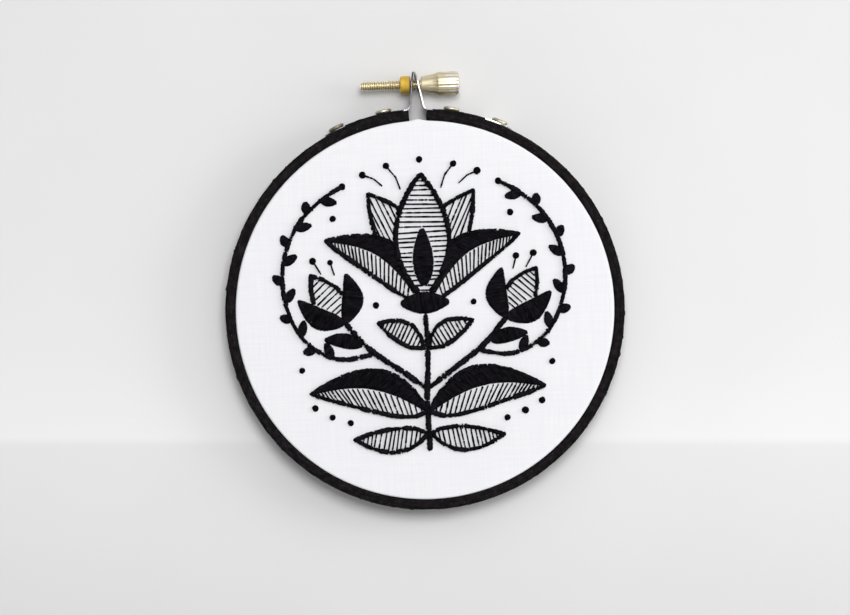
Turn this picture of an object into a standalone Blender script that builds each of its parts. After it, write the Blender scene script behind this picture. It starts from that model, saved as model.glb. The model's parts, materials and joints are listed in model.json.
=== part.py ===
# Hoop embroidery art: white cotton held drum-tight in a small wooden embroidery hoop.
#
# The hoop lies on its back with the cloth facing up (+Z), and its screw clamp points along +Y.
# Metres. The origin lies under the middle of the whole outline, on the surface that the hoops rest on.

import math

import bmesh
import bpy
from mathutils import Vector

MM = 0.001

# Outer hoop: a flat wooden strip bent round, split at the top for the clamp
HOOP_OUTER_RADIUS = 55.0 * MM
STRIP_THICKNESS = 2.8 * MM
HOOP_DEPTH = 9.0 * MM
SPLIT_WIDTH = 4.8 * MM
EDGE_ROUNDING = 0.5 * MM

# Gap kept between pieces that touch on the real thing
CLEARANCE = 0.3 * MM

# Cloth, and the inner hoop that it is stretched over
CLOTH_THICKNESS = 1.0 * MM
CLOTH_PROUD = 0.1 * MM
CLOTH_TRIM_HEIGHT = 0.8 * MM

# Clamp plates: steel strips riveted to the outer hoop, with their ends bent up as ears
PLATE_THICKNESS = 0.5 * MM
PLATE_HALF_WIDTH = 3.7 * MM
PLATE_END_ANGLE = math.radians(27.8)
BEND_RADIUS = 1.5 * MM
EAR_HOLE_RADIUS = 1.7 * MM
# For each side: its direction along X, the ear's distance from the middle at the screw, and its lean
CLAMP_SIDES = {
    "left": {"side": -1, "ear_offset": 1.3 * MM, "lean": math.radians(6.3)},
    "right": {"side": 1, "ear_offset": 0.6 * MM, "lean": math.radians(10.2)},
}

# Rivets through plate and hoop, by their angle from the clamp
RIVET_ANGLES = {"near": math.radians(9.7), "far": math.radians(23.8)}
RIVET_HEAD_RADIUS = 2.25 * MM
RIVET_HEAD_HEIGHT = 1.0 * MM
RIVET_EYE_RADIUS = 0.8 * MM
RIVET_EYE_DEPTH = 0.7 * MM
RIVET_SHANK_RADIUS = 1.2 * MM
RIVET_BORE_RADIUS = 1.5 * MM

# Clamp screw: its line runs along X, over the split
SCREW_HEIGHT = 62.25 * MM
THREAD_RADIUS = 1.35 * MM
THREAD_ROOT_RADIUS = 1.12 * MM
THREAD_PITCH = 0.5 * MM
THREAD_TIP = -15.5 * MM
THREAD_END = -0.5 * MM
HEAD_START = 1.5 * MM
HEAD_NECK_RADIUS = 2.0 * MM
HEAD_NECK_LENGTH = 0.6 * MM
HEAD_CONE_RADIUS = 2.9 * MM
FLUTED_START = 5.9 * MM
FLUTED_END = 11.75 * MM
FLUTED_RADIUS = 3.25 * MM
FLUTE_DEPTH = 0.3 * MM
FLUTE_COUNT = 18

# Round nut on the thread, against the left ear
NUT_RADIUS = 2.42 * MM
NUT_LENGTH = 2.8 * MM
NUT_FACE = -2.15 * MM
NUT_CHAMFER = 0.3 * MM

# Steps round a full turn
HOOP_STEPS = 96
SMALL_STEPS = 20
BORE_STEPS = 24

# Steps along a clamp plate: round the hoop, round its bend, up its ear, and round each end
PLATE_STEPS = 20
BEND_STEPS = 6
EAR_STEPS = 4
TIP_STEPS = 6
TIP_START = math.radians(8.0)

# Worked out from the sizes above
CLOTH_OUTER_RADIUS = HOOP_OUTER_RADIUS - STRIP_THICKNESS - CLEARANCE
INNER_HOOP_RADIUS = CLOTH_OUTER_RADIUS - CLOTH_THICKNESS - CLEARANCE
CLOTH_TOP = HOOP_DEPTH + CLOTH_PROUD
INNER_HOOP_DEPTH = CLOTH_TOP - CLOTH_THICKNESS - CLEARANCE
PLATE_RADIUS = HOOP_OUTER_RADIUS + CLEARANCE + PLATE_THICKNESS / 2
MID_DEPTH = HOOP_DEPTH / 2
EAR_REACH = PLATE_HALF_WIDTH * math.cos(TIP_START)
EAR_TOP = max(
    SCREW_HEIGHT + EAR_REACH * math.cos(s["lean"]) + PLATE_THICKNESS / 2 * math.sin(s["lean"])
    for s in CLAMP_SIDES.values()
)
HOOP_CENTRE_Y = (HOOP_OUTER_RADIUS - EAR_TOP) / 2


def clear_scene():
    for obj in list(bpy.data.objects):
        bpy.data.objects.remove(obj)


def new_collection(name):
    collection = bpy.data.collections.new(name)
    bpy.context.scene.collection.children.link(collection)
    return collection


def new_material(name, colour, roughness, metallic=0.0):
    material = bpy.data.materials.new(name)
    material.use_nodes = True
    shader = material.node_tree.nodes["Principled BSDF"]
    shader.inputs["Base Color"].default_value = (*colour, 1.0)
    shader.inputs["Roughness"].default_value = roughness
    shader.inputs["Metallic"].default_value = metallic
    material.diffuse_color = (*colour, 1.0)
    return material


def new_object(name, mesh, collection, material=None, parent=None):
    obj = bpy.data.objects.new(name, mesh)
    collection.objects.link(obj)
    if material:
        mesh.materials.append(material)
    obj.parent = parent
    return obj


def new_empty(name, collection, location, parent=None):
    empty = bpy.data.objects.new(name, None)
    collection.objects.link(empty)
    empty.location = location
    empty.parent = parent
    return empty


def as_cutter(obj):
    obj.hide_render = True
    obj.display_type = "WIRE"
    return obj


def boolean(obj, other, operation):
    modifier = obj.modifiers.new(f"{operation.lower()} {other.name}", "BOOLEAN")
    modifier.operation = operation
    modifier.solver = "EXACT"
    modifier.object = other


def spaced(start, end, steps):
    """Evenly spaced values from start to end, both included."""
    return [start + (end - start) * i / steps for i in range(steps + 1)]


def arc(centre, radius, start, end, steps, height=None):
    """Points of an arc from angle start to angle end. It is an ellipse's where a height is given."""
    rise = height or radius
    return [
        (centre[0] + radius * math.cos(turn), centre[1] + rise * math.sin(turn))
        for turn in spaced(start, end, steps)
    ]


def turned(name, profile, closed, steps, collection, material, parent=None):
    """Turns a profile of (radius, height) points about Z. It runs down the outer side."""
    bm = bmesh.new()
    points = [bm.verts.new((radius, 0.0, height)) for radius, height in profile]
    for first, second in zip(points, points[1:]):
        bm.edges.new((first, second))
    if closed:
        bm.edges.new((points[-1], points[0]))
    mesh = bpy.data.meshes.new(name)
    bm.to_mesh(mesh)
    bm.free()
    obj = new_object(name, mesh, collection, material, parent)
    screw = obj.modifiers.new("turn", "SCREW")
    screw.steps = steps
    screw.render_steps = steps
    screw.use_merge_vertices = True
    screw.merge_threshold = 0.00002
    screw.use_smooth_shade = True
    return obj


def hoop_section(inner_radius, outer_radius, top):
    """Section of a hoop's strip, with its corners rounded, from the inner top corner round."""
    r = EDGE_ROUNDING
    quarter = math.pi / 2
    corners = (
        ((inner_radius + r, top - r), 2 * quarter, quarter),
        ((outer_radius - r, top - r), quarter, 0.0),
        ((outer_radius - r, r), 0.0, -quarter),
        ((inner_radius + r, r), -quarter, -2 * quarter),
    )
    return [point for centre, start, end in corners for point in arc(centre, r, start, end, 2)]


def cloth_section():
    """Half section of the cloth: its flat face, the turn over the inner hoop, and the trimmed edge."""
    outer_turn = CLOTH_THICKNESS + EDGE_ROUNDING
    inner_turn = EDGE_ROUNDING
    turn_centre = (CLOTH_OUTER_RADIUS - outer_turn, CLOTH_TOP - outer_turn)
    outside = arc(turn_centre, outer_turn, math.pi / 2, 0.0, 4)
    inside = arc(turn_centre, inner_turn, 0.0, math.pi / 2, 4)
    return [
        (0.0, CLOTH_TOP),
        *outside,
        (CLOTH_OUTER_RADIUS, CLOTH_TRIM_HEIGHT),
        (CLOTH_OUTER_RADIUS - CLOTH_THICKNESS, CLOTH_TRIM_HEIGHT),
        *inside,
        (0.0, CLOTH_TOP - CLOTH_THICKNESS),
    ]


def split_cutter(collection, parent):
    """Box that takes the split out of the outer hoop."""
    bm = bmesh.new()
    bmesh.ops.create_cube(bm, size=1.0)
    bmesh.ops.scale(bm, vec=(SPLIT_WIDTH, 3 * STRIP_THICKNESS, 2 * HOOP_DEPTH), verts=bm.verts)
    mesh = bpy.data.meshes.new("split_cutter")
    bm.to_mesh(mesh)
    bm.free()
    cutter = new_object("split_cutter", mesh, collection, parent=parent)
    cutter.location = (0.0, HOOP_OUTER_RADIUS - STRIP_THICKNESS / 2, MID_DEPTH)
    return as_cutter(cutter)


def round_cutter(name, radius, length, collection, parent):
    """Cylinder along its own Z, its middle at its origin."""
    bm = bmesh.new()
    bmesh.ops.create_cone(
        bm, cap_ends=True, segments=BORE_STEPS, radius1=radius, radius2=radius, depth=length
    )
    mesh = bpy.data.meshes.new(name)
    bm.to_mesh(mesh)
    bm.free()
    return as_cutter(new_object(name, mesh, collection, parent=parent))


def place_on_rim(obj, side, angle, radius):
    """Puts an object at an angle from the clamp, with its own Z pointing out from the hoop's middle."""
    outwards = Vector((side * math.sin(angle), math.cos(angle), 0.0))
    obj.location = outwards * radius + Vector((0.0, 0.0, MID_DEPTH))
    obj.rotation_mode = "QUATERNION"
    obj.rotation_quaternion = outwards.to_track_quat("Z", "Y")


def plate_path(ear_offset, lean):
    """Middle line of the right clamp plate as (x, y) points, seen from the front.

    It follows the hoop from the plate's far end, turns outwards, and runs up the leaning ear.
    """
    along = Vector((-math.sin(lean), math.cos(lean)))
    away = Vector((math.cos(lean), math.sin(lean)))
    hole = Vector((ear_offset, SCREW_HEIGHT))

    # The bend's middle lies a bend radius from the ear's line and from the plate's circle
    start = hole + away * BEND_RADIUS
    rise = start.dot(along)
    reach = (PLATE_RADIUS + BEND_RADIUS) ** 2 - start.length_squared
    down = math.sqrt(rise**2 + reach) - rise
    bend_centre = start + along * down

    bend_angle = math.atan2(bend_centre.x, bend_centre.y)
    plate = [
        (PLATE_RADIUS * math.sin(turn), PLATE_RADIUS * math.cos(turn))
        for turn in spaced(PLATE_END_ANGLE, bend_angle, PLATE_STEPS)
    ]
    bend = arc(bend_centre, BEND_RADIUS, 1.5 * math.pi - bend_angle, math.pi + lean, BEND_STEPS)
    ear_start = hole + along * down
    ear_end = hole + along * PLATE_HALF_WIDTH
    ear = [tuple(ear_start.lerp(ear_end, share)) for share in spaced(0.0, 1.0, EAR_STEPS)]
    return plate + bend[1:] + ear[1:]


def point_at(path, distance):
    """The point that lies this far along a path of (x, y) points."""
    left = distance
    for first, second in zip(path, path[1:]):
        step = Vector(second) - Vector(first)
        if left <= step.length or second == path[-1]:
            return Vector(first) + step.normalized() * left
        left -= step.length


def plate_stations(path):
    """Distance along the plate and its half width there: both ends are half round."""
    length = sum((Vector(b) - Vector(a)).length for a, b in zip(path, path[1:]))
    r = PLATE_HALF_WIDTH
    turns = spaced(TIP_START, math.pi / 2, TIP_STEPS)
    far_end = [(r * (1 - math.cos(t)), r * math.sin(t)) for t in turns]
    ear_end = [(length - distance, half) for distance, half in reversed(far_end)]
    corners = []
    walked = 0.0
    for first, second in zip(path, path[1:]):
        walked += (Vector(second) - Vector(first)).length
        if r < walked < length - r:
            corners.append((walked, r))
    return far_end + corners + ear_end


def clamp_plate(name, side, ear_offset, lean, collection, material):
    """A steel strip bent along its path: an open surface with its thickness from Solidify."""
    path = plate_path(ear_offset, lean)
    bm = bmesh.new()
    rows = []
    for distance, half_width in plate_stations(path):
        x, y = point_at(path, distance)
        row = [bm.verts.new((side * x, y, MID_DEPTH + z)) for z in (-half_width, half_width)]
        rows.append(row)
    for (low_a, high_a), (low_b, high_b) in zip(rows, rows[1:]):
        bm.faces.new((low_a, low_b, high_b, high_a))
    bmesh.ops.recalc_face_normals(bm, faces=bm.faces)
    mesh = bpy.data.meshes.new(name)
    bm.to_mesh(mesh)
    bm.free()
    obj = new_object(name, mesh, collection, material)
    thickness = obj.modifiers.new("thickness", "SOLIDIFY")
    thickness.thickness = PLATE_THICKNESS
    thickness.offset = 0.0
    thickness.use_even_offset = True
    return obj


def rivet_section():
    """Half section of a hollow rivet with a rolled head, its own Z pointing out of the hoop."""
    under_head = CLEARANCE + PLATE_THICKNESS + CLEARANCE
    eye_floor = RIVET_HEAD_HEIGHT - RIVET_EYE_DEPTH
    shank_end = CLEARANCE - STRIP_THICKNESS
    roll_middle = ((RIVET_HEAD_RADIUS + RIVET_EYE_RADIUS) / 2, under_head)
    roll_radius = (RIVET_HEAD_RADIUS - RIVET_EYE_RADIUS) / 2
    roll_start = math.pi - math.asin(eye_floor / RIVET_HEAD_HEIGHT)
    return [
        (0.0, under_head + eye_floor),
        *arc(roll_middle, roll_radius, roll_start, 0.0, 6, RIVET_HEAD_HEIGHT),
        (RIVET_SHANK_RADIUS, under_head),
        (RIVET_SHANK_RADIUS, shank_end),
        (0.0, shank_end),
    ]


def screw_section():
    """Half section of the clamp screw from the end of its head to the tip of its thread.

    The head is a cone that widens from a neck, and its fluted barrel is joined on afterwards.
    """
    head = [
        (0.0, FLUTED_END - EDGE_ROUNDING),
        (HEAD_NECK_RADIUS, FLUTED_END - EDGE_ROUNDING),
        (HEAD_NECK_RADIUS, FLUTED_START + EDGE_ROUNDING),
        (HEAD_CONE_RADIUS, FLUTED_START + EDGE_ROUNDING),
        (HEAD_NECK_RADIUS, HEAD_START + HEAD_NECK_LENGTH),
        (HEAD_NECK_RADIUS, HEAD_START),
        (THREAD_ROOT_RADIUS, HEAD_START),
        (THREAD_ROOT_RADIUS, THREAD_END),
    ]
    ridges = int((THREAD_END - THREAD_TIP) / THREAD_PITCH)
    thread = []
    for i in range(ridges):
        crest = THREAD_END - (i + 0.5) * THREAD_PITCH
        thread += [(THREAD_RADIUS, crest), (THREAD_ROOT_RADIUS, crest - THREAD_PITCH / 2)]
    return [*head, *thread, (0.0, THREAD_TIP)]


def fluted_barrel(collection, parent):
    """The fluted part of the head: a ridged outline with thickness, made a mesh for the union."""
    curve = bpy.data.curves.new("barrel_outline", "CURVE")
    curve.dimensions = "2D"
    curve.fill_mode = "BOTH"
    curve.extrude = (FLUTED_END - FLUTED_START) / 2
    spline = curve.splines.new("POLY")
    points_a_ridge = 4
    count = FLUTE_COUNT * points_a_ridge
    spline.points.add(count - 1)
    spline.use_cyclic_u = True
    for i, point in enumerate(spline.points):
        turn = math.tau * i / count
        on_ridge = i % points_a_ridge < 2
        radius = FLUTED_RADIUS if on_ridge else FLUTED_RADIUS - FLUTE_DEPTH
        point.co = (radius * math.cos(turn), radius * math.sin(turn), 0.0, 1.0)
    outline = bpy.data.objects.new("barrel_outline", curve)
    collection.objects.link(outline)
    bpy.context.view_layer.update()
    evaluated = outline.evaluated_get(bpy.context.evaluated_depsgraph_get())
    mesh = bpy.data.meshes.new_from_object(evaluated)
    bpy.data.objects.remove(outline)
    bm = bmesh.new()
    bm.from_mesh(mesh)
    bmesh.ops.remove_doubles(bm, verts=bm.verts, dist=0.000005)
    bm.to_mesh(mesh)
    bm.free()
    barrel = new_object("fluted_barrel", mesh, collection, parent=parent)
    barrel.location = (0.0, 0.0, (FLUTED_START + FLUTED_END) / 2)
    return as_cutter(barrel)


def nut_section():
    """Section of the nut, from the inner top corner round."""
    half = NUT_LENGTH / 2
    bore = EAR_HOLE_RADIUS
    return [
        (bore, half),
        (NUT_RADIUS - NUT_CHAMFER, half),
        (NUT_RADIUS, half - NUT_CHAMFER),
        (NUT_RADIUS, NUT_CHAMFER - half),
        (NUT_RADIUS - NUT_CHAMFER, -half),
        (bore, -half),
    ]


def main():
    clear_scene()
    parts = new_collection("hoop_embroidery_art")
    cutters = new_collection("cutters")

    painted_wood = new_material("painted_wood", (0.012, 0.011, 0.012), 0.75)
    bare_wood = new_material("bare_wood", (0.62, 0.42, 0.22), 0.6)
    cotton = new_material("cotton", (0.9, 0.9, 0.92), 0.95)
    plated_steel = new_material("plated_steel", (0.62, 0.61, 0.58), 0.3, 1.0)
    brass = new_material("brass", (0.72, 0.5, 0.16), 0.3, 1.0)
    pale_brass = new_material("pale_brass", (0.8, 0.72, 0.5), 0.25, 1.0)

    hoop = new_empty("hoop_middle", parts, (0.0, HOOP_CENTRE_Y, 0.0))
    screw_line = new_empty("screw_line", parts, (0.0, SCREW_HEIGHT, MID_DEPTH), hoop)
    screw_line.rotation_euler = (0.0, math.pi / 2, 0.0)

    # Both hoops and the cloth between them
    outer_section = hoop_section(HOOP_OUTER_RADIUS - STRIP_THICKNESS, HOOP_OUTER_RADIUS, HOOP_DEPTH)
    outer_hoop = turned("outer_hoop", outer_section, True, HOOP_STEPS, parts, painted_wood, hoop)
    boolean(outer_hoop, split_cutter(cutters, hoop), "DIFFERENCE")
    inner_section = hoop_section(INNER_HOOP_RADIUS - STRIP_THICKNESS, INNER_HOOP_RADIUS, INNER_HOOP_DEPTH)
    turned("inner_hoop", inner_section, True, HOOP_STEPS, parts, bare_wood, hoop)
    turned("cloth", cloth_section(), False, HOOP_STEPS, parts, cotton, hoop)

    # Clamp plates, each with an ear hole for the screw and two rivets
    ear_bore_length = 2 * (SCREW_HEIGHT - HOOP_OUTER_RADIUS)
    ear_bore = round_cutter("ear_bore", EAR_HOLE_RADIUS, ear_bore_length, cutters, screw_line)
    rivet_bore_length = 4 * STRIP_THICKNESS
    for label, sizes in CLAMP_SIDES.items():
        plate = clamp_plate(f"clamp_plate_{label}", **sizes, collection=parts, material=plated_steel)
        plate.parent = hoop
        boolean(plate, ear_bore, "DIFFERENCE")
        for place, angle in RIVET_ANGLES.items():
            spot = f"{label}_{place}"
            bore = round_cutter(f"bore_{spot}", RIVET_BORE_RADIUS, rivet_bore_length, cutters, hoop)
            place_on_rim(bore, sizes["side"], angle, HOOP_OUTER_RADIUS)
            boolean(plate, bore, "DIFFERENCE")
            boolean(outer_hoop, bore, "DIFFERENCE")
            rivet = turned(f"rivet_{spot}", rivet_section(), False, SMALL_STEPS, parts, pale_brass, hoop)
            place_on_rim(rivet, sizes["side"], angle, HOOP_OUTER_RADIUS)

    # Screw and nut, turned about the screw line
    nut = turned("clamp_nut", nut_section(), True, SMALL_STEPS, parts, brass, screw_line)
    nut.location = (0.0, 0.0, NUT_FACE - NUT_LENGTH / 2)
    screw = turned("clamp_screw", screw_section(), False, SMALL_STEPS, parts, pale_brass, screw_line)
    boolean(screw, fluted_barrel(cutters, screw_line), "UNION")


main()
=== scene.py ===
# Hoop embroidery art: black thread on white cotton, held in a small black-painted embroidery hoop.
# Sizes in the dictionaries are in millimetres and degrees. The meshes are in metres, in the frame's place.
import json
import math
import random

import bmesh
import bpy
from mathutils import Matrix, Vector, noise


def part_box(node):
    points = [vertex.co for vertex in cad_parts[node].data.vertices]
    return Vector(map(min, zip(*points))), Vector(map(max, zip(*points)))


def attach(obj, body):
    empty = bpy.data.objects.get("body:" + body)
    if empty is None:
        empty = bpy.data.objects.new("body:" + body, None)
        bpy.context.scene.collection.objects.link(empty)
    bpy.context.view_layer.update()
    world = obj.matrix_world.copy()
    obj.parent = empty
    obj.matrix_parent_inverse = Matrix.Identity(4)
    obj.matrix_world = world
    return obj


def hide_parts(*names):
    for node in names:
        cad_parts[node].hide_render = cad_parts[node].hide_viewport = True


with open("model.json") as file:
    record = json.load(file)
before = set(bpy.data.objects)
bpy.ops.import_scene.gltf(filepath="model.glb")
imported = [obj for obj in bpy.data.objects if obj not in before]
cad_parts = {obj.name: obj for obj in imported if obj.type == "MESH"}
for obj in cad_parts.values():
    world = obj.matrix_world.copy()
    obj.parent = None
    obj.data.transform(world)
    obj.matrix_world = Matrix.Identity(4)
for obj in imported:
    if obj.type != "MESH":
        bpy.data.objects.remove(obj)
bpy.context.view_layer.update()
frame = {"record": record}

scene = bpy.context.scene
scene.view_settings.view_transform = "Standard"
mm = 0.001

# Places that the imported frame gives
hoopLow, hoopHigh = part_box("outer_hoop")
clothLow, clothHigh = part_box("cloth")
screwSpot = Vector(frame["record"]["behaviour"]["joints"][0]["pos_m"])
hoopRadius = hoopHigh.x
hoopMiddle = Vector((0.0, hoopLow.y + hoopRadius, 0.0))
hoopDepth = hoopHigh.z
clothTop = clothHigh.z


def toLinear(code):
    shares = [int(code[i:i + 2], 16) / 255 for i in (1, 3, 5)]
    return (*[s / 12.92 if s <= 0.04045 else ((s + 0.055) / 1.055) ** 2.4 for s in shares], 1.0)


def perMetre(size):  # how often something of this size in millimetres fits into a metre
    return 1 / (size * mm)


def addObject(name, data):
    obj = bpy.data.objects.new(name, data)
    scene.collection.objects.link(obj)
    return obj


def addNode(tree, kind, settings=None, inputs=None):
    # an input is named or numbered, and takes a plain value, a hex colour, a socket, or a node's first output
    node = tree.nodes.new(kind)
    for name, value in (settings or {}).items():
        setattr(node, name, value)
    for label, value in (inputs or {}).items():
        if isinstance(label, int):
            socket = node.inputs[label]
        else:
            socket = next(s for s in node.inputs if s.name == label and s.enabled)
        if isinstance(value, bpy.types.Node):
            value = next(s for s in value.outputs if s.enabled)
        if isinstance(value, bpy.types.NodeSocket):
            tree.links.new(value, socket)
        else:
            hexColour = isinstance(value, str) and value.startswith("#")
            socket.default_value = toLinear(value) if hexColour else value
    return node


# Camera, straight above the cloth and rolled, because the hoop stands a little turned
shot = {"distance": 1500.0, "width": 234.0, "aimRight": 0.01, "aimUp": 0.67, "roll": 2.2}


def placeCamera():
    camera = addObject("shotCamera", bpy.data.cameras.new("shotCamera"))
    camera.data.lens = camera.data.sensor_width * shot["distance"] / shot["width"]
    camera.data.clip_start = 0.01
    aim = Vector((shot["aimRight"], shot["aimUp"], shot["distance"])) * mm
    camera.location = hoopMiddle + aim + Vector((0.0, 0.0, clothTop))
    camera.rotation_euler = (0.0, 0.0, -math.radians(shot["roll"]))
    scene.camera = camera


# Soft studio light: a steep lamp, a broad one beyond the clamp, a low one from the right, a weak one that
# comes in low from below the hoop as light off a white shelf does, and pale air
lamps = {
    "keyLamp": {"place": (100.0, 340.0, 1240.0), "size": 480.0, "power": 8.9},
    "broadLamp": {"place": (300.0, 700.0, 700.0), "size": 1000.0, "power": 2.4},
    "sideLamp": {"place": (1050.0, 150.0, 380.0), "size": 500.0, "power": 4.9},
    "shelfLamp": {"place": (0.0, -800.0, 170.0), "size": 400.0, "power": 1.3},
}
air = {"low": "#ffffff", "high": "#c4c4c6", "strength": 0.44}


def placeLamps():
    for name, sizes in lamps.items():
        lamp = bpy.data.lights.new(name, "AREA")
        lamp.size = sizes["size"] * mm
        lamp.energy = sizes["power"]
        obj = addObject(name, lamp)
        obj.location = hoopMiddle + Vector(sizes["place"]) * mm
        obj.rotation_mode = "QUATERNION"
        obj.rotation_quaternion = (obj.location - hoopMiddle).to_track_quat("Z", "Y")
    world = bpy.data.worlds.new("studioAir")
    scene.world = world
    world.use_nodes = True
    tree = world.node_tree
    tree.nodes.clear()
    way = addNode(tree, "ShaderNodeTexCoord")
    parts = addNode(tree, "ShaderNodeSeparateXYZ", inputs={0: way.outputs["Generated"]})
    rise = addNode(tree, "ShaderNodeMapRange", inputs={
        "Value": parts.outputs["Z"], "From Min": 0.0, "From Max": 1.0})
    tone = addNode(tree, "ShaderNodeMix", {"data_type": "RGBA"}, {
        "Factor": rise, "A": air["low"], "B": air["high"]})
    glow = addNode(tree, "ShaderNodeBackground", inputs={"Color": tone, "Strength": air["strength"]})
    addNode(tree, "ShaderNodeOutputWorld", inputs={"Surface": glow})


# Floor: one matt white plane, faintly mottled, with painted light and shade: a soft light level line below
# the hoop, darker away
floor = {"halfSize": 1500.0, "mottle": "#f8f8f8", "mottleSize": 60.0, "rampFrom": -100.0, "rampTo": 100.0,
         "paintedLightTones": ((-90.0, "#dfdfdf"), (-70.0, "#e3e3e3"), (-43.2, "#e7e7e7"), (-41.0, "#f0f0f0"),
                   (-20.0, "#ebebeb"), (5.0, "#e8e8e8"), (80.0, "#e3e3e3"))}


def newMaterial(name, values):
    material = bpy.data.materials.new(name)
    material.use_nodes = True
    shader = material.node_tree.nodes["Principled BSDF"]
    for label, value in values.items():
        shader.inputs[label].default_value = value
    return material, material.node_tree, shader.inputs


def drive(tree, surface, fields):  # the shader's named sockets take what these nodes give
    for label, node in fields.items():
        tree.links.new(next(s for s in node.outputs if s.enabled), surface[label])


def layFloor():
    mesh = bpy.data.meshes.new("studioFloor")
    reach = floor["halfSize"] * mm
    corners = [(x * reach, y * reach, 0.0) for x, y in ((-1, -1), (1, -1), (1, 1), (-1, 1))]
    mesh.from_pydata(corners, [], [(0, 1, 2, 3)])
    obj = addObject("studioFloor", mesh)
    material, tree, surface = newMaterial("mattCard", {"Roughness": 0.9, "Specular IOR Level": 0.2})
    place = addNode(tree, "ShaderNodeTexCoord").outputs["Object"]
    roll = math.radians(shot["roll"])
    upwards = addNode(tree, "ShaderNodeVectorMath", {"operation": "DOT_PRODUCT"}, {
        0: place, 1: (math.sin(roll), math.cos(roll), 0.0)})
    low, high = floor["rampFrom"], floor["rampTo"]
    share = addNode(tree, "ShaderNodeMapRange", inputs={
        "Value": upwards.outputs["Value"], "From Min": low * mm, "From Max": high * mm})
    # the ramp paints light and shade: lightest at the level line, darker away from it, darkest towards the
    # bottom
    paintedLightRamp = addNode(tree, "ShaderNodeValToRGB", inputs={"Fac": share})
    stops = paintedLightRamp.color_ramp.elements
    while len(stops) < len(floor["paintedLightTones"]):
        stops.new(1.0)
    for stop, (height, colour) in zip(stops, floor["paintedLightTones"]):
        stop.position = (height - low) / (high - low)
        stop.color = toLinear(colour)
    cloud = addNode(tree, "ShaderNodeTexNoise", inputs={
        "Vector": place, "Scale": perMetre(floor["mottleSize"])})
    tone = addNode(tree, "ShaderNodeMix", {"data_type": "RGBA", "blend_type": "MULTIPLY"}, {
        "Factor": cloud, "A": paintedLightRamp.outputs["Color"], "B": floor["mottle"]})
    drive(tree, surface, {"Base Color": tone})
    mesh.materials.append(material)


# Materials


def brushPaintedWood():
    # acrylic brushed on thin over beech ply: matt near-black, fine streaks along the strip, a few pale specks
    paint = {"deep": "#040303", "worn": "#1f191d", "speck": "#5f5955", "streakWidth": 0.45,
             "streakLength": 5.0, "patchSize": 1.5, "wornFrom": 0.9, "wornFull": 1.25, "speckSize": 0.5,
             "speckFrom": 0.68, "speckFull": 0.76, "smoothest": 0.5, "roughest": 0.75, "relief": 0.1,
             "bump": 0.6}
    material, tree, surface = newMaterial("brushPaintedBeech", {"Specular IOR Level": 0.08})
    place = addNode(tree, "ShaderNodeAttribute", {"attribute_name": "unrolled"}).outputs["Vector"]
    fine = perMetre(paint["streakWidth"])
    streaks = addNode(tree, "ShaderNodeMapping", inputs={
        "Vector": place, "Scale": (perMetre(paint["streakLength"]), fine, fine)})
    brush = addNode(tree, "ShaderNodeTexNoise", inputs={"Vector": streaks, "Scale": 1.0, "Detail": 4.0})
    patch = addNode(tree, "ShaderNodeTexNoise", inputs={
        "Vector": place, "Scale": perMetre(paint["patchSize"])})
    both = addNode(tree, "ShaderNodeMath", {"operation": "ADD"}, {0: brush, 1: patch})
    share = addNode(tree, "ShaderNodeMapRange", inputs={
        "Value": both, "From Min": paint["wornFrom"], "From Max": paint["wornFull"]})
    tone = addNode(tree, "ShaderNodeMix", {"data_type": "RGBA"}, {
        "Factor": share, "A": paint["deep"], "B": paint["worn"]})
    speckle = addNode(tree, "ShaderNodeTexNoise", inputs={
        "Vector": place, "Scale": perMetre(paint["speckSize"])})
    bare = addNode(tree, "ShaderNodeMapRange", inputs={
        "Value": speckle, "From Min": paint["speckFrom"], "From Max": paint["speckFull"]})
    colour = addNode(tree, "ShaderNodeMix", {"data_type": "RGBA"}, {
        "Factor": bare, "A": tone, "B": paint["speck"]})
    matt = addNode(tree, "ShaderNodeMapRange", inputs={
        "Value": brush, "To Min": paint["smoothest"], "To Max": paint["roughest"]})
    relief = addNode(tree, "ShaderNodeBump", inputs={
        "Height": brush, "Strength": paint["bump"], "Distance": paint["relief"] * mm})
    drive(tree, surface, {"Base Color": colour, "Roughness": matt, "Normal": relief})
    return material


def bareWood():
    # sanded beech ply, unfinished: pale warm wood with fine dark pores along the strip
    wood = {"pale": "#dcc39b", "dark": "#b8946a", "grainWidth": 0.7, "grainLength": 28.0, "poreWidth": 0.18,
            "poreLength": 2.4, "grainFrom": 0.3, "grainFull": 0.7, "grainShare": 0.7, "poreFrom": 0.6,
            "poreFull": 0.72, "relief": 0.05, "bump": 0.4}
    material, tree, surface = newMaterial("sandedBeech", {"Roughness": 0.62, "Specular IOR Level": 0.4})
    place = addNode(tree, "ShaderNodeAttribute", {"attribute_name": "unrolled"}).outputs["Vector"]
    wide, pore = perMetre(wood["grainWidth"]), perMetre(wood["poreWidth"])
    grainPlace = addNode(tree, "ShaderNodeMapping", inputs={
        "Vector": place, "Scale": (perMetre(wood["grainLength"]), wide, wide)})
    grain = addNode(tree, "ShaderNodeTexNoise", inputs={"Vector": grainPlace, "Scale": 1.0, "Detail": 5.0})
    porePlace = addNode(tree, "ShaderNodeMapping", inputs={
        "Vector": place, "Scale": (perMetre(wood["poreLength"]), pore, pore)})
    pores = addNode(tree, "ShaderNodeTexNoise", inputs={"Vector": porePlace, "Scale": 1.0})
    marks = addNode(tree, "ShaderNodeMapRange", inputs={
        "Value": pores, "From Min": wood["poreFrom"], "From Max": wood["poreFull"]})
    spread = addNode(tree, "ShaderNodeMapRange", inputs={
        "Value": grain, "From Min": wood["grainFrom"], "From Max": wood["grainFull"],
        "To Max": wood["grainShare"]})
    share = addNode(tree, "ShaderNodeMath", {"operation": "ADD", "use_clamp": True}, {0: spread, 1: marks})
    tone = addNode(tree, "ShaderNodeMix", {"data_type": "RGBA"}, {
        "Factor": share, "A": wood["pale"], "B": wood["dark"]})
    relief = addNode(tree, "ShaderNodeBump", {"invert": True}, {
        "Height": marks, "Strength": wood["bump"], "Distance": wood["relief"] * mm})
    drive(tree, surface, {"Base Color": tone, "Normal": relief})
    return material


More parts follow.
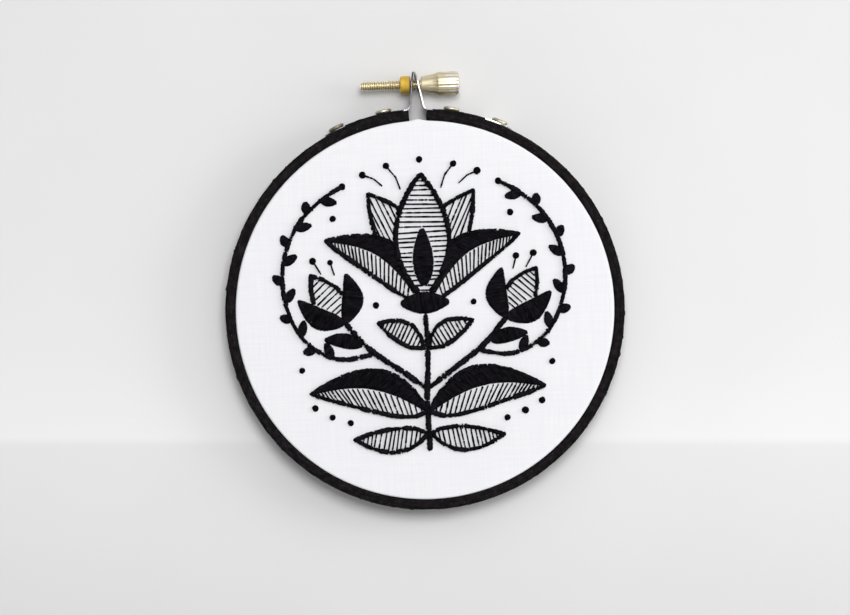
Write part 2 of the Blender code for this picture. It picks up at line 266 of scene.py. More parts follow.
def plainCotton():
    # bleached plain-weave cotton, pressed and drum-tight: matt cool white, a fine weave with slight slubs
    weave = {"yarn": 0.42, "white": "#f0f0f2", "paintedWeaveShade": "#e8e8ec", "slubWidth": 0.5, "slubLength": 14.0,
             "crossing": 0.14, "paintedShadeFrom": 0.1, "paintedShadeFull": 0.5, "relief": 0.08, "bump": 0.35}
    material, tree, surface = newMaterial("plainWeaveCotton", {
        "Roughness": 0.95, "Specular IOR Level": 0.15, "Sheen Weight": 0.08, "Sheen Roughness": 0.5})
    place = addNode(tree, "ShaderNodeUVMap", {"uv_map": "cut"}).outputs["UV"]
    parts = addNode(tree, "ShaderNodeSeparateXYZ", inputs={0: place})
    turns = math.pi / (weave["yarn"] * mm)
    waves = []
    for axis in ("X", "Y"):
        phase = addNode(tree, "ShaderNodeMath", {"operation": "MULTIPLY"}, {0: parts.outputs[axis], 1: turns})
        waves.append(addNode(tree, "ShaderNodeMath", {"operation": "SINE"}, {0: phase}))
    crossing = addNode(tree, "ShaderNodeMath", {"operation": "MULTIPLY"}, {0: waves[0], 1: waves[1]})
    slubs = []
    long, thin = perMetre(weave["slubLength"]), perMetre(weave["slubWidth"])
    for stretch in ((long, thin, 1.0), (thin, long, 1.0)):
        spot = addNode(tree, "ShaderNodeMapping", inputs={"Vector": place, "Scale": stretch})
        slubs.append(addNode(tree, "ShaderNodeTexNoise", inputs={
            "Vector": spot, "Scale": 1.0, "Detail": 2.0}))
    uneven = addNode(tree, "ShaderNodeMath", {"operation": "MULTIPLY"}, {0: slubs[0], 1: slubs[1]})
    # the weave's low places are coloured darker, painted shade between the yarns; the slubs add the yarn's
    # own uneven tone
    dip = addNode(tree, "ShaderNodeMath", {"operation": "MULTIPLY_ADD"}, {
        0: crossing, 1: weave["crossing"], 2: uneven})
    share = addNode(tree, "ShaderNodeMapRange", inputs={
        "Value": dip, "From Min": weave["paintedShadeFrom"], "From Max": weave["paintedShadeFull"]})
    tone = addNode(tree, "ShaderNodeMix", {"data_type": "RGBA"}, {
        "Factor": share, "A": weave["paintedWeaveShade"], "B": weave["white"]})
    relief = addNode(tree, "ShaderNodeBump", inputs={
        "Height": dip, "Strength": weave["bump"], "Distance": weave["relief"] * mm})
    drive(tree, surface, {"Base Color": tone, "Normal": relief})
    return material


def blackFloss():
    # six-strand cotton embroidery floss dyed black: soft, almost no shine; a faint sheen along the fibres is
    # painted into the colour, more on some stitches than others, and the fibres are drawn about ten times as
    # coarse as they are, so that they show
    floss = {"dark": "#030304", "paintedSheen": "#292430", "fibreWidth": 0.22, "fibreLength": 2.4, "paintedSheenFrom": 0.4,
             "paintedSheenFull": 0.75, "relief": 0.04, "bump": 0.7}
    material, tree, surface = newMaterial("blackCottonFloss", {
        "Roughness": 0.55, "Specular IOR Level": 0.04, "Sheen Weight": 0.003, "Sheen Roughness": 0.4})
    around = addNode(tree, "ShaderNodeAttribute", {"attribute_name": "around"}).outputs["Vector"]
    fine = perMetre(floss["fibreWidth"])
    size = addNode(tree, "ShaderNodeMapping", inputs={
        "Vector": around, "Scale": (fine, fine, perMetre(floss["fibreLength"]))})
    fibres = addNode(tree, "ShaderNodeTexNoise", inputs={"Vector": size, "Scale": 1.0, "Detail": 3.0})
    fibre = addNode(tree, "ShaderNodeMapRange", inputs={
        "Value": fibres, "From Min": floss["paintedSheenFrom"], "From Max": floss["paintedSheenFull"]})
    own = addNode(tree, "ShaderNodeAttribute", {"attribute_name": "paintedSheenShare"}).outputs["Fac"]
    share = addNode(tree, "ShaderNodeMath", {"operation": "MULTIPLY"}, {0: fibre, 1: own})
    tone = addNode(tree, "ShaderNodeMix", {"data_type": "RGBA"}, {
        "Factor": share, "A": floss["dark"], "B": floss["paintedSheen"]})
    relief = addNode(tree, "ShaderNodeBump", inputs={
        "Height": fibres, "Strength": floss["bump"], "Distance": floss["relief"] * mm})
    drive(tree, surface, {"Base Color": tone, "Normal": relief})
    return material


def platedSteel(name, bright, dull, bendTone):
    # nickel-plated strip steel with brush lines along it, painted over with the hoop where the map's X runs
    # from 0 to 1, and coloured in a band a little before that, at the bend, with the bend's own given colour
    steel = {"paint": "#0a090a", "lineWidth": 0.12, "lineLength": 10.0, "raggedness": 1.6,
             "raggedShift": 0.12, "paintEdge": 0.02, "bendBandFrom": -0.2, "bendBandFull": -0.1, "bendBandFades": 0.5,
             "smoothest": 0.2, "roughest": 0.38, "paintRoughness": 0.6, "relief": 0.03, "bump": 0.3}
    material, tree, surface = newMaterial(name, {"Specular IOR Level": 0.12})
    strip = addNode(tree, "ShaderNodeUVMap", {"uv_map": "strip"})
    parts = addNode(tree, "ShaderNodeSeparateXYZ", inputs={0: strip})
    place = addNode(tree, "ShaderNodeTexCoord").outputs["Object"]
    long = perMetre(steel["lineLength"])
    lines = addNode(tree, "ShaderNodeMapping", inputs={
        "Vector": place, "Scale": (long, long, perMetre(steel["lineWidth"]))})
    brushed = addNode(tree, "ShaderNodeTexNoise", inputs={"Vector": lines, "Scale": 1.0, "Detail": 3.0})
    metal = addNode(tree, "ShaderNodeMix", {"data_type": "RGBA"}, {
        "Factor": brushed, "A": dull, "B": bright})
    ragged = addNode(tree, "ShaderNodeTexNoise", inputs={
        "Vector": place, "Scale": perMetre(steel["raggedness"]), "Detail": 4.0})
    shift = addNode(tree, "ShaderNodeMapRange", inputs={
        "Value": ragged, "To Min": -steel["raggedShift"], "To Max": steel["raggedShift"]})
    along = addNode(tree, "ShaderNodeMath", {"operation": "ADD"}, {0: parts.outputs["X"], 1: shift})
    begun = addNode(tree, "ShaderNodeMapRange", inputs={
        "Value": along, "From Min": 0.0, "From Max": steel["paintEdge"]})
    ended = addNode(tree, "ShaderNodeMapRange", inputs={
        "Value": along, "From Min": 1 - steel["paintEdge"], "From Max": 1.0, "To Min": 1.0, "To Max": 0.0})
    painted = addNode(tree, "ShaderNodeMath", {"operation": "MULTIPLY"}, {0: begun, 1: ended})
    bendBand = addNode(tree, "ShaderNodeMapRange", inputs={
        "Value": along, "From Min": steel["bendBandFrom"], "From Max": steel["bendBandFull"]})
    clean = addNode(tree, "ShaderNodeMapRange", inputs={
        "Value": along, "From Min": steel["bendBandFades"], "From Max": 1.0, "To Min": 1.0, "To Max": 0.0})
    bendBandShare = addNode(tree, "ShaderNodeMath", {"operation": "MULTIPLY"}, {0: bendBand, 1: clean})
    metal = addNode(tree, "ShaderNodeMix", {"data_type": "RGBA"}, {
        "Factor": bendBandShare, "A": metal, "B": bendTone})
    colour = addNode(tree, "ShaderNodeMix", {"data_type": "RGBA"}, {
        "Factor": painted, "A": metal, "B": steel["paint"]})
    shine = addNode(tree, "ShaderNodeMath", {"operation": "SUBTRACT"}, {0: 1.0, 1: painted})
    worn = addNode(tree, "ShaderNodeMapRange", inputs={
        "Value": brushed, "To Min": steel["smoothest"], "To Max": steel["roughest"]})
    rough = addNode(tree, "ShaderNodeMix", inputs={
        "Factor": painted, "A": worn, "B": steel["paintRoughness"]})
    relief = addNode(tree, "ShaderNodeBump", inputs={
        "Height": brushed, "Strength": steel["bump"], "Distance": steel["relief"] * mm})
    drive(tree, surface, {"Base Color": colour, "Metallic": shine, "Roughness": rough, "Normal": relief})
    return material


def turnedBrass(name, bright, dull, grooveShade, roughness, markGap):
    # lathe-turned brass: fine rings round the screw's line, duller where "worn" says so (wear on the screw's
    # head, painted shade on the rivets), and darker in its grooves, which is painted shade
    brass = {"ringLength": 25.0, "stainSize": 1.8, "stainFrom": 0.35, "stainFull": 0.7, "stainShare": 0.6,
             "wornDullness": 0.5, "smoother": 0.06, "rougher": 0.12, "relief": 0.03, "bump": 0.25}
    material, tree, surface = newMaterial(name, {"Metallic": 1.0})
    gap, length = perMetre(markGap), perMetre(brass["ringLength"])
    place = addNode(tree, "ShaderNodeTexCoord").outputs["Object"]
    rings = addNode(tree, "ShaderNodeMapping", inputs={"Vector": place, "Scale": (gap, length, length)})
    marks = addNode(tree, "ShaderNodeTexNoise", inputs={"Vector": rings, "Scale": 1.0, "Detail": 2.0})
    stain = addNode(tree, "ShaderNodeTexNoise", inputs={
        "Vector": place, "Scale": perMetre(brass["stainSize"]), "Detail": 4.0})
    patches = addNode(tree, "ShaderNodeMapRange", inputs={
        "Value": stain, "From Min": brass["stainFrom"], "From Max": brass["stainFull"],
        "To Max": brass["stainShare"]})
    worn = addNode(tree, "ShaderNodeAttribute", {"attribute_name": "worn"}).outputs["Fac"]
    share = addNode(tree, "ShaderNodeMath", {"operation": "ADD", "use_clamp": True}, {0: patches, 1: worn})
    tone = addNode(tree, "ShaderNodeMix", {"data_type": "RGBA"}, {
        "Factor": share, "A": bright, "B": dull})
    groove = addNode(tree, "ShaderNodeAttribute", {"attribute_name": "groove"}).outputs["Fac"]
    # the grooves take the groove colour: painted shade in the thread's roots and the head's flutes
    grooveShaded = addNode(tree, "ShaderNodeMix", {"data_type": "RGBA"}, {"Factor": groove, "A": tone, "B": grooveShade})
    dullness = addNode(tree, "ShaderNodeMath", {"operation": "MULTIPLY_ADD"}, {
        0: worn, 1: brass["wornDullness"], 2: stain})
    polish = addNode(tree, "ShaderNodeMapRange", {"clamp": False}, {
        "Value": dullness, "To Min": roughness - brass["smoother"], "To Max": roughness + brass["rougher"]})
    relief = addNode(tree, "ShaderNodeBump", inputs={
        "Height": marks, "Strength": brass["bump"], "Distance": brass["relief"] * mm})
    drive(tree, surface, {"Base Color": grooveShaded, "Roughness": polish, "Normal": relief})
    return material


placeCamera()
placeLamps()
layFloor()
paintedWood = brushPaintedWood()
sandedWood = bareWood()
cotton = plainCotton()
thread = blackFloss()
# left plate: darker all over, painted shade, with a painted highlight at its bend; right: the lit copy,
# darker at its bend
plateMetals = {"left": platedSteel("paintedShadePlatedSteel", "#646268", "#515055", "#98969a"),
               "right": platedSteel("nickelPlatedSteel", "#dfdcd8", "#b9b6b2", "#57545a")}
# each brass's last colour is painted shade for its grooves
goldenBrass = turnedBrass("turnedBrass", "#ecd069", "#dcb345", "#a98230", 0.72, 0.15)
rivetBrass = turnedBrass("dullRivetBrass", "#f2ead2", "#968e75", "#8f8566", 0.45, 0.2)
threadBrass = turnedBrass("rolledThreadBrass", "#fbf3da", "#e6d6a4", "#96804a", 0.38, 0.15)
paleBrass = turnedBrass("paleNickelledBrass", "#ffffff", "#e6dcbc", "#cfc096", 0.4, 0.12)
print("stage, camera and materials made")


# Geometry Nodes


numberOnPoints = {"data_type": "FLOAT", "domain": "POINT"}  # what a stored attribute is
vectorOnPoints = {"data_type": "FLOAT_VECTOR", "domain": "POINT"}


def newTree(name, sizes, counts=(), places=()):  # the names of its inputs, by kind
    tree = bpy.data.node_groups.new(name, "GeometryNodeTree")
    kinds = {"Geometry": ["Guide"], "Float": sizes, "Int": counts, "Vector": places, "Material": ["Finish"]}
    for kind, labels in kinds.items():
        for label in labels:
            tree.interface.new_socket(label, in_out="INPUT", socket_type=f"NodeSocket{kind}")
    tree.interface.new_socket("Piece", in_out="OUTPUT", socket_type="NodeSocketGeometry")
    return tree, addNode(tree, "NodeGroupInput").outputs


def closeTree(tree, given, geometry):
    whole = addNode(tree, "GeometryNodeRealizeInstances", inputs={"Geometry": geometry})
    finished = addNode(tree, "GeometryNodeSetMaterial", inputs={
        "Geometry": whole, "Material": given["Finish"]})
    addNode(tree, "NodeGroupOutput", inputs={"Piece": finished})


def keepShape(piece, sharpAngle):  # what the modifiers make becomes the piece's own plain mesh
    graph = bpy.context.evaluated_depsgraph_get()
    shaped = piece.evaluated_get(graph)
    mesh = bpy.data.meshes.new_from_object(shaped, preserve_all_data_layers=True, depsgraph=graph)
    piece.modifiers.clear()
    piece.data = mesh
    mesh.name = piece.name
    mesh.shade_smooth()
    mesh.set_sharp_from_angle(angle=math.radians(sharpAngle))
    print(f"{piece.name}: {sum(len(p.vertices) - 2 for p in mesh.polygons)} triangles")


def growPiece(name, tree, values, guide=None, sharpAngle=180.0):  # runs a tree on a guide mesh
    piece = addObject(name, guide or bpy.data.meshes.new(name + "Guide"))
    modifier = piece.modifiers.new(tree.name, "NODES")
    modifier.node_group = tree
    for item in tree.interface.items_tree:
        if item.in_out == "INPUT" and item.name in values:
            modifier[item.identifier] = values[item.name]
    keepShape(piece, sharpAngle)
    return piece


def mappedPiece(name, bm, uvName, flatSpots, finish):  # flatSpots gives each point's place in the named map
    uvMap = bm.loops.layers.uv.new(uvName)
    for face in bm.faces:
        for loop in face.loops:
            loop[uvMap].uv = flatSpots[loop.vert]
    mesh = bpy.data.meshes.new(name)
    bm.to_mesh(mesh)
    bm.free()
    mesh.materials.append(finish)
    return addObject(name, mesh)


def fit(piece, slot, *nodes, body="root"):
    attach(piece, body)
    if nodes:
        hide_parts(*nodes)


# Hoops: flat wooden strips bent round, hand painted outside, bare inside


hoops = {"thickness": 2.8, "split": 4.8, "paintedRounding": 0.5, "bareRounding": 0.4, "profileStep": 0.3,
         "lumpSize": 3.0, "paintUnevenness": 0.45, "dripSize": 2.2, "dripHeight": 0.22, "dripFrom": 0.66,
         "dripFull": 0.76, "woodUnevenness": 0.1, "plateReach": 26.0, "plateFade": 3.0, "underPlate": 0.2,
         "innerRadius": 51.5, "innerTop": 8.7, "lapGap": 0.12, "lapFade": 1.0, "stations": 800}


def bentStripTree():
    tree, given = newTree("bentStrip", [
        "Radius", "Thickness", "Depth", "Rounding", "Start", "Sweep", "Unevenness", "Lumps Per Metre",
        "Drip Height", "Drips Per Metre", "Even To", "Uneven From"], ["Stations"], ["Middle"])
    line = addNode(tree, "GeometryNodeCurveArc", {"mode": "RADIUS"}, {
        "Resolution": given["Stations"], "Radius": given["Radius"], "Start Angle": given["Start"],
        "Sweep Angle": given["Sweep"]})
    walked = addNode(tree, "GeometryNodeSplineParameter").outputs["Length"]
    line = addNode(tree, "GeometryNodeStoreNamedAttribute", numberOnPoints, {
        "Geometry": line, "Name": "along", "Value": walked})
    edge = addNode(tree, "GeometryNodeCurvePrimitiveQuadrilateral", inputs={
        "Width": given["Thickness"], "Height": given["Depth"]})
    edge = addNode(tree, "GeometryNodeFilletCurve", {"mode": "POLY"}, {
        "Curve": edge, "Count": 4, "Radius": given["Rounding"]})
    edge = addNode(tree, "GeometryNodeResampleCurve", {"mode": "LENGTH"}, {
        "Curve": edge, "Length": hoops["profileStep"] * mm})
    strip = addNode(tree, "GeometryNodeCurveToMesh", inputs={
        "Curve": line, "Profile Curve": edge, "Fill Caps": True})
    place = addNode(tree, "GeometryNodeInputPosition")
    lumps = addNode(tree, "ShaderNodeTexNoise", inputs={
        "Vector": place, "Scale": given["Lumps Per Metre"], "Detail": 5.0, "Roughness": 0.6})
    swell = addNode(tree, "ShaderNodeMath", {"operation": "SUBTRACT"}, {0: lumps, 1: 0.5})
    swell = addNode(tree, "ShaderNodeMath", {"operation": "MULTIPLY"}, {0: swell, 1: given["Unevenness"]})
    spots = addNode(tree, "ShaderNodeTexNoise", inputs={
        "Vector": place, "Scale": given["Drips Per Metre"], "Detail": 1.0})
    drips = addNode(tree, "ShaderNodeMapRange", {"interpolation_type": "SMOOTHSTEP"}, {
        "Value": spots, "From Min": hoops["dripFrom"], "From Max": hoops["dripFull"],
        "To Max": given["Drip Height"]})
    swell = addNode(tree, "ShaderNodeMath", {"operation": "ADD"}, {0: swell, 1: drips})
    # the strip stays even where the clamp plates lie on it, near its ends
    walked = addNode(tree, "GeometryNodeInputNamedAttribute", {"data_type": "FLOAT"}, {"Name": "along"})
    length = addNode(tree, "ShaderNodeMath", {"operation": "MULTIPLY"}, {
        0: given["Sweep"], 1: given["Radius"]})
    left = addNode(tree, "ShaderNodeMath", {"operation": "SUBTRACT"}, {0: length, 1: walked})
    toEnd = addNode(tree, "ShaderNodeMath", {"operation": "MINIMUM"}, {0: walked, 1: left})
    free = addNode(tree, "ShaderNodeMapRange", inputs={
        "Value": toEnd, "From Min": given["Even To"], "From Max": given["Uneven From"],
        "To Min": hoops["underPlate"]})
    swell = addNode(tree, "ShaderNodeMath", {"operation": "MULTIPLY"}, {0: swell, 1: free})
    outwards = addNode(tree, "GeometryNodeInputNormal")
    offset = addNode(tree, "ShaderNodeVectorMath", {"operation": "SCALE"}, {0: outwards, "Scale": swell})
    strip = addNode(tree, "GeometryNodeSetPosition", inputs={"Geometry": strip, "Offset": offset})
    half = addNode(tree, "ShaderNodeMath", {"operation": "MULTIPLY"}, {0: given["Depth"], 1: -0.5})
    lowest = addNode(tree, "ShaderNodeCombineXYZ", inputs={"X": -1.0, "Y": -1.0, "Z": half})
    seated = addNode(tree, "ShaderNodeVectorMath", {"operation": "MAXIMUM"}, {0: place, 1: lowest})
    strip = addNode(tree, "GeometryNodeSetPosition", inputs={"Geometry": strip, "Position": seated})
    # the strip laid out flat: along it, through it, and across it
    parts = addNode(tree, "ShaderNodeSeparateXYZ", inputs={0: place})
    level = addNode(tree, "ShaderNodeVectorMath", {"operation": "MULTIPLY"}, {0: place, 1: (1.0, 1.0, 0.0)})
    reach = addNode(tree, "ShaderNodeVectorMath", {"operation": "LENGTH"}, {0: level})
    flat = addNode(tree, "ShaderNodeCombineXYZ", inputs={
        "X": walked, "Y": reach.outputs["Value"], "Z": parts.outputs["Z"]})
    strip = addNode(tree, "GeometryNodeStoreNamedAttribute", vectorOnPoints, {
        "Geometry": strip, "Name": "unrolled", "Value": flat})
    strip = addNode(tree, "GeometryNodeTransform", inputs={"Geometry": strip, "Translation": given["Middle"]})
    closeTree(tree, given, strip)
    return tree


def makeHoops():
    tree = bentStripTree()
    shared = {"Thickness": hoops["thickness"] * mm, "Stations": hoops["stations"],
              "Lumps Per Metre": perMetre(hoops["lumpSize"]), "Drips Per Metre": perMetre(hoops["dripSize"])}
    middleRadius = hoopRadius - hoops["thickness"] * mm / 2
    halfSplit = math.asin(hoops["split"] * mm / 2 / middleRadius)
    outer = growPiece("paintedHoop", tree, {
        **shared, "Radius": middleRadius, "Depth": hoopDepth, "Rounding": hoops["paintedRounding"] * mm,
        "Start": math.pi / 2 + halfSplit, "Sweep": math.tau - 2 * halfSplit,
        "Unevenness": hoops["paintUnevenness"] * mm, "Drip Height": hoops["dripHeight"] * mm,
        "Even To": hoops["plateReach"] * mm, "Uneven From": (hoops["plateReach"] + hoops["plateFade"]) * mm,
        "Middle": hoopMiddle + Vector((0, 0, hoopDepth / 2)),
        "Finish": paintedWood}, sharpAngle=50)
    fit(outer, "painted_wood", "outer_hoop")
    innerRadius = (hoops["innerRadius"] - hoops["thickness"] / 2) * mm
    lap = hoops["lapGap"] * mm / innerRadius
    innerDepth = hoops["innerTop"] * mm
    inner = growPiece("innerHoop", tree, {
        **shared, "Radius": innerRadius, "Depth": innerDepth, "Rounding": hoops["bareRounding"] * mm,
        "Start": -math.pi / 2, "Sweep": math.tau - lap, "Unevenness": hoops["woodUnevenness"] * mm,
        "Uneven From": hoops["lapFade"] * mm,
        "Middle": hoopMiddle + Vector((0, 0, innerDepth / 2)), "Finish": sandedWood}, sharpAngle=50)
    fit(inner, "bare_wood", "inner_hoop")


# Cloth: one round of cotton, stretched over the inner hoop and turned down between the hoops


cloth = {"thickness": 0.35, "shoulderRadius": 52.15, "shoulder": 0.55, "trimHeight": 0.8, "trimWaver": 0.25,
         "trimWavers": 40.0, "ringGap": 1.0, "segments": 300, "shoulderSteps": 7, "skirtSteps": 9,
         "ripple": 0.03, "rippleSize": 11.0, "splitBulge": 0.5, "bulgeWidth": 1.6}


def clothRings():
    # for each ring of points: its radius, its height under the cloth's face, and its distance from the middle
    flat = cloth["shoulderRadius"] - cloth["shoulder"]
    count = round(flat / cloth["ringGap"])
    rings = [(flat * i / count, 0.0, flat * i / count) for i in range(1, count + 1)]
    for i in range(1, cloth["shoulderSteps"] + 1):
        turn = math.pi / 2 * i / cloth["shoulderSteps"]
        rings.append((flat + cloth["shoulder"] * math.sin(turn), cloth["shoulder"] * (1 - math.cos(turn)),
                      flat + cloth["shoulder"] * turn))
    radius, drop, walked = rings[-1]
    skirt = clothTop / mm - cloth["trimHeight"] - drop
    steps = cloth["skirtSteps"]
    rings += [(radius, drop + skirt * i / steps, walked + skirt * i / steps) for i in range(1, steps + 1)]
    return rings


def stretchCloth():
    rings = clothRings()
    flatRadius = rings[-1][2]
    bm = bmesh.new()
    rows = []
    flatSpots = {}

    def addPoint(radius, drop, walked, turn):
        way = Vector((math.cos(turn), math.sin(turn), 0.0))
        offSplit = math.degrees(abs(math.remainder(turn - math.pi / 2, math.tau)))
        skirt = min(1.0, drop / cloth["shoulder"])
        radius += cloth["splitBulge"] * math.exp(-(offSplit / cloth["bulgeWidth"]) ** 2) * skirt
        swell = noise.noise(way * radius / cloth["rippleSize"]) * cloth["ripple"] * (1 - skirt)
        waver = noise.noise(way * cloth["trimWavers"]) * cloth["trimWaver"] if walked == flatRadius else 0.0
        height = clothTop + (swell + waver - drop) * mm
        point = bm.verts.new(hoopMiddle + way * radius * mm + Vector((0, 0, height)))
        flatSpots[point] = (walked * mm * way.x, walked * mm * way.y)
        return point

    middle = addPoint(0.0, 0.0, 0.0, 0.0)
    for circle in rings:
        rows.append([addPoint(*circle, math.tau * i / cloth["segments"]) for i in range(cloth["segments"])])
    for i in range(cloth["segments"]):
        after = (i + 1) % cloth["segments"]
        bm.faces.new((middle, rows[0][i], rows[0][after]))
        for near, far in zip(rows, rows[1:]):
            bm.faces.new((near[i], far[i], far[after], near[after]))
    piece = mappedPiece("stretchedCotton", bm, "cut", flatSpots, cotton)
    piece.data.shade_smooth()
    wall = piece.modifiers.new("clothThickness", "SOLIDIFY")
    wall.thickness = cloth["thickness"] * mm
    wall.offset = -1.0
    fit(piece, "cotton", "cloth")
    print(f"stretchedCotton: cut {2 * flatRadius:.1f} mm across")
    return piece, flatRadius * mm


# Embroidery: a symmetrical spray of flowers. The design is in millimetres about the hoop's middle, clamp up


needle = random.Random(7)
sewing = {"satinGap": 0.38, "backLength": 3.6, "stamenLength": 3.2, "ropeLength": 4.4, "solidSlant": 0.05,
          "halfSlant": 0.10, "openSlant": 0.12, "firstHatch": 0.7, "lastHatch": 0.35, "rise": 0.95,
          "plyDepth": 0.12, "wandersPerMetre": 450.0}
vineLeaves = {"count": 11, "first": 0.17, "step": 0.073, "lean": 0.9, "short": 2.6, "long": 3.6, "width": 2.5,
              "nudge": 0.02}  # along the vine, as shares of its length, and sizes of each leaf
stitches = {"hatch": [], "outline": [], "rope": [], "satin": []}
knots = []


def smoothPath(points, steps=10):  # a soft line through a few chosen points
    path = [Vector(p) for p in points]
    path = [path[0] * 2 - path[1], *path, path[-1] * 2 - path[-2]]
    line = []
    for a, b, c, d in zip(path, path[1:], path[2:], path[3:]):
        for i in range(steps):
            t = i / steps
            bend = (2 * a - 5 * b + 4 * c - d) * t * t + (3 * b - a - 3 * c + d) * t**3
            line.append((2 * b + (c - a) * t + bend) / 2)
    return line + [path[-2]]


def pathLength(path):
    return sum((b - a).length for a, b in zip(path, path[1:]))


def pointAlong(path, share):  # the point at this share of a path's length
    left = share * pathLength(path)
    for a, b in zip(path, path[1:]):
        step = (b - a).length
        if left <= step or b is path[-1]:
            return a.lerp(b, left / max(step, 1e-9))
        left -= step


def leafEdges(foot, tip, width, bow, fullness, bluntness=0.85, steps=16):
    # both edges of a leaf, from foot to tip, bowed sideways
    foot, tip = Vector(foot), Vector(tip)
    side = (tip - foot).orthogonal().normalized()
    edges = [], []
    for i in range(steps + 1):
        t = i / steps
        middle = foot.lerp(tip, t) + side * bow * math.sin(math.pi * t)
        half = width / 2 * math.sin(math.pi * t**fullness) ** bluntness
        edges[0].append(middle + side * half)
        edges[1].append(middle - side * half)
    return edges


def ring(edges):  # both edges as one closed outline
    return edges[0] + edges[1][-2:0:-1]


def inside(point, outline):
    hit = False
    for a, b in zip(outline, outline[1:] + outline[:1]):
        if (a.y > point.y) != (b.y > point.y):
            if point.x < a.x + (b.x - a.x) * (point.y - a.y) / (b.y - a.y):
                hit = not hit
    return hit


def clipped(sewn, masks, shortest=0.9):  # what is left of each stitch outside the shapes in front of it
    for outline in masks:
        kept = []
        for a, b in sewn:
            cuts = [0.0, 1.0]
            for c, d in zip(outline, outline[1:] + outline[:1]):
                cross = (b - a).cross(d - c)
                if abs(cross) > 1e-9:
                    along, other = (c - a).cross(d - c) / cross, (c - a).cross(b - a) / cross
                    if 0 < along < 1 and 0 <= other <= 1:
                        cuts.append(along)
            cuts.sort()
            for low, high in zip(cuts, cuts[1:]):
                if (b - a).length * (high - low) > shortest:
                    if not inside(a.lerp(b, (low + high) / 2), outline):
                        kept.append((a.lerp(b, low), a.lerp(b, high)))
        sewn = kept
    return sewn


def backStitches(path, length, wander=0.12):  # straight stitches end to end, spaced by eye
    count = max(1, round(pathLength(path) / length))
    shares = [(i + needle.uniform(-wander, wander)) / count for i in range(1, count)]
    spots = [pointAlong(path, s) for s in (0.0, *shares, 1.0)]
    return list(zip(spots, spots[1:]))


def ropeStitches(path, length, overlap=0.35, shift=0.16):  # stem stitch: each starts beside the last one
    total = pathLength(path)
    count = max(2, round((total - length) / (length * (1 - overlap))) + 1)
    pitch = (total - length) / (count - 1)
    sewn = []
    for i in range(count):
        a = pointAlong(path, max(0.0, i * pitch / total))
        b = pointAlong(path, min(1.0, (i * pitch + length) / total))
        side = (b - a).orthogonal().normalized() * shift
        sewn.append((a + side, b - side))
    return sewn


def hatchLines(outline, angle, spacing, inset=-0.1, shortest=1.2, lean=0.04, uneven=(0.82, 1.18)):
    # long single stitches from edge to edge, not quite parallel and spaced by eye
    turn = math.radians(angle)
    along = Vector((math.cos(turn), math.sin(turn)))
    across = Vector((-along.y, along.x))
    middle = sum(outline, Vector((0.0, 0.0))) / len(outline)
    levels = [(p - middle).dot(across) for p in outline]
    level = min(levels) + spacing * sewing["firstHatch"]
    lines = []
    while level < max(levels) - spacing * sewing["lastHatch"]:
        square = (across - along * needle.uniform(-lean, lean)).normalized()
        crossings = []
        for a, b in zip(outline, outline[1:] + outline[:1]):
            da, db = (a - middle).dot(square) - level, (b - middle).dot(square) - level
            if da * db < 0:
                crossings.append(a.lerp(b, da / (da - db)))
        crossings.sort(key=lambda p: p.dot(along))
        for a, b in zip(crossings[::2], crossings[1::2]):
            if (b - a).length > shortest:
                cut = (b - a).normalized() * inset
                lines.append((a + cut, b - cut))
        level += spacing * needle.uniform(*uneven)
    return lines


def satinStitches(edgeA, edgeB, spacing, slant, wander=0.2, shortest=0.6):
    # close stitches side by side, from edge to edge
    count = max(2, round(max(pathLength(edgeA), pathLength(edgeB)) / spacing))
    sewn = []
    for i in range(count + 1):
        share = i / count
        a = pointAlong(edgeA, min(1.0, max(0.0, share + needle.uniform(-wander, wander) / count)))
        b = pointAlong(edgeB, min(1.0, share + slant * math.sin(math.pi * share)))
        if (b - a).length > shortest:
            sewn.append((a, b))
    return sewn


def at(point, flip):  # a place on the right, or with flip -1 its mirror image on the left
    return (point[0] * flip, point[1])


def sewPetal(foot, tip, width, filling, flip=1, bow=0.0, fullness=0.85, angle=0.0, gap=1.35,
             edge="outline", masks=()):
    edges = leafEdges(at(foot, flip), at(tip, flip), width, bow * flip, fullness)
    outer, inner = edges if flip == 1 else edges[::-1]
    middle = [(a + b) / 2 for a, b in zip(*edges)]
    made = {"hatch": [], "satin": [], "outline": [], "rope": []}
    if filling == "hatched":
        made["hatch"] = hatchLines(ring(edges), angle if flip == 1 else 180 - angle, gap)
    if filling == "solid":
        made["satin"] = satinStitches(outer, inner, sewing["satinGap"], sewing["solidSlant"])
    if filling == "halves":  # one half solid, the other open
        made["satin"] = satinStitches(outer, middle, sewing["satinGap"], sewing["halfSlant"])
        made["hatch"] = satinStitches(inner, middle, gap, sewing["openSlant"])
    if filling != "solid":
        for side in edges:
            if edge == "rope":
                made["rope"] += ropeStitches(side, sewing["ropeLength"])
            else:
                made["outline"] += backStitches(side, sewing["backLength"])
    for kind, sewn in made.items():
        stitches[kind] += clipped(sewn, masks)
    return ring(edges)


def sewStem(points, flip=1, kind="rope", masks=()):
    path = smoothPath([at(p, flip) for p in points])
    follow, length = (ropeStitches, "ropeLength") if kind == "rope" else (backStitches, "backLength")
    stitches[kind] += clipped(follow(path, sewing[length]), masks)
    return path


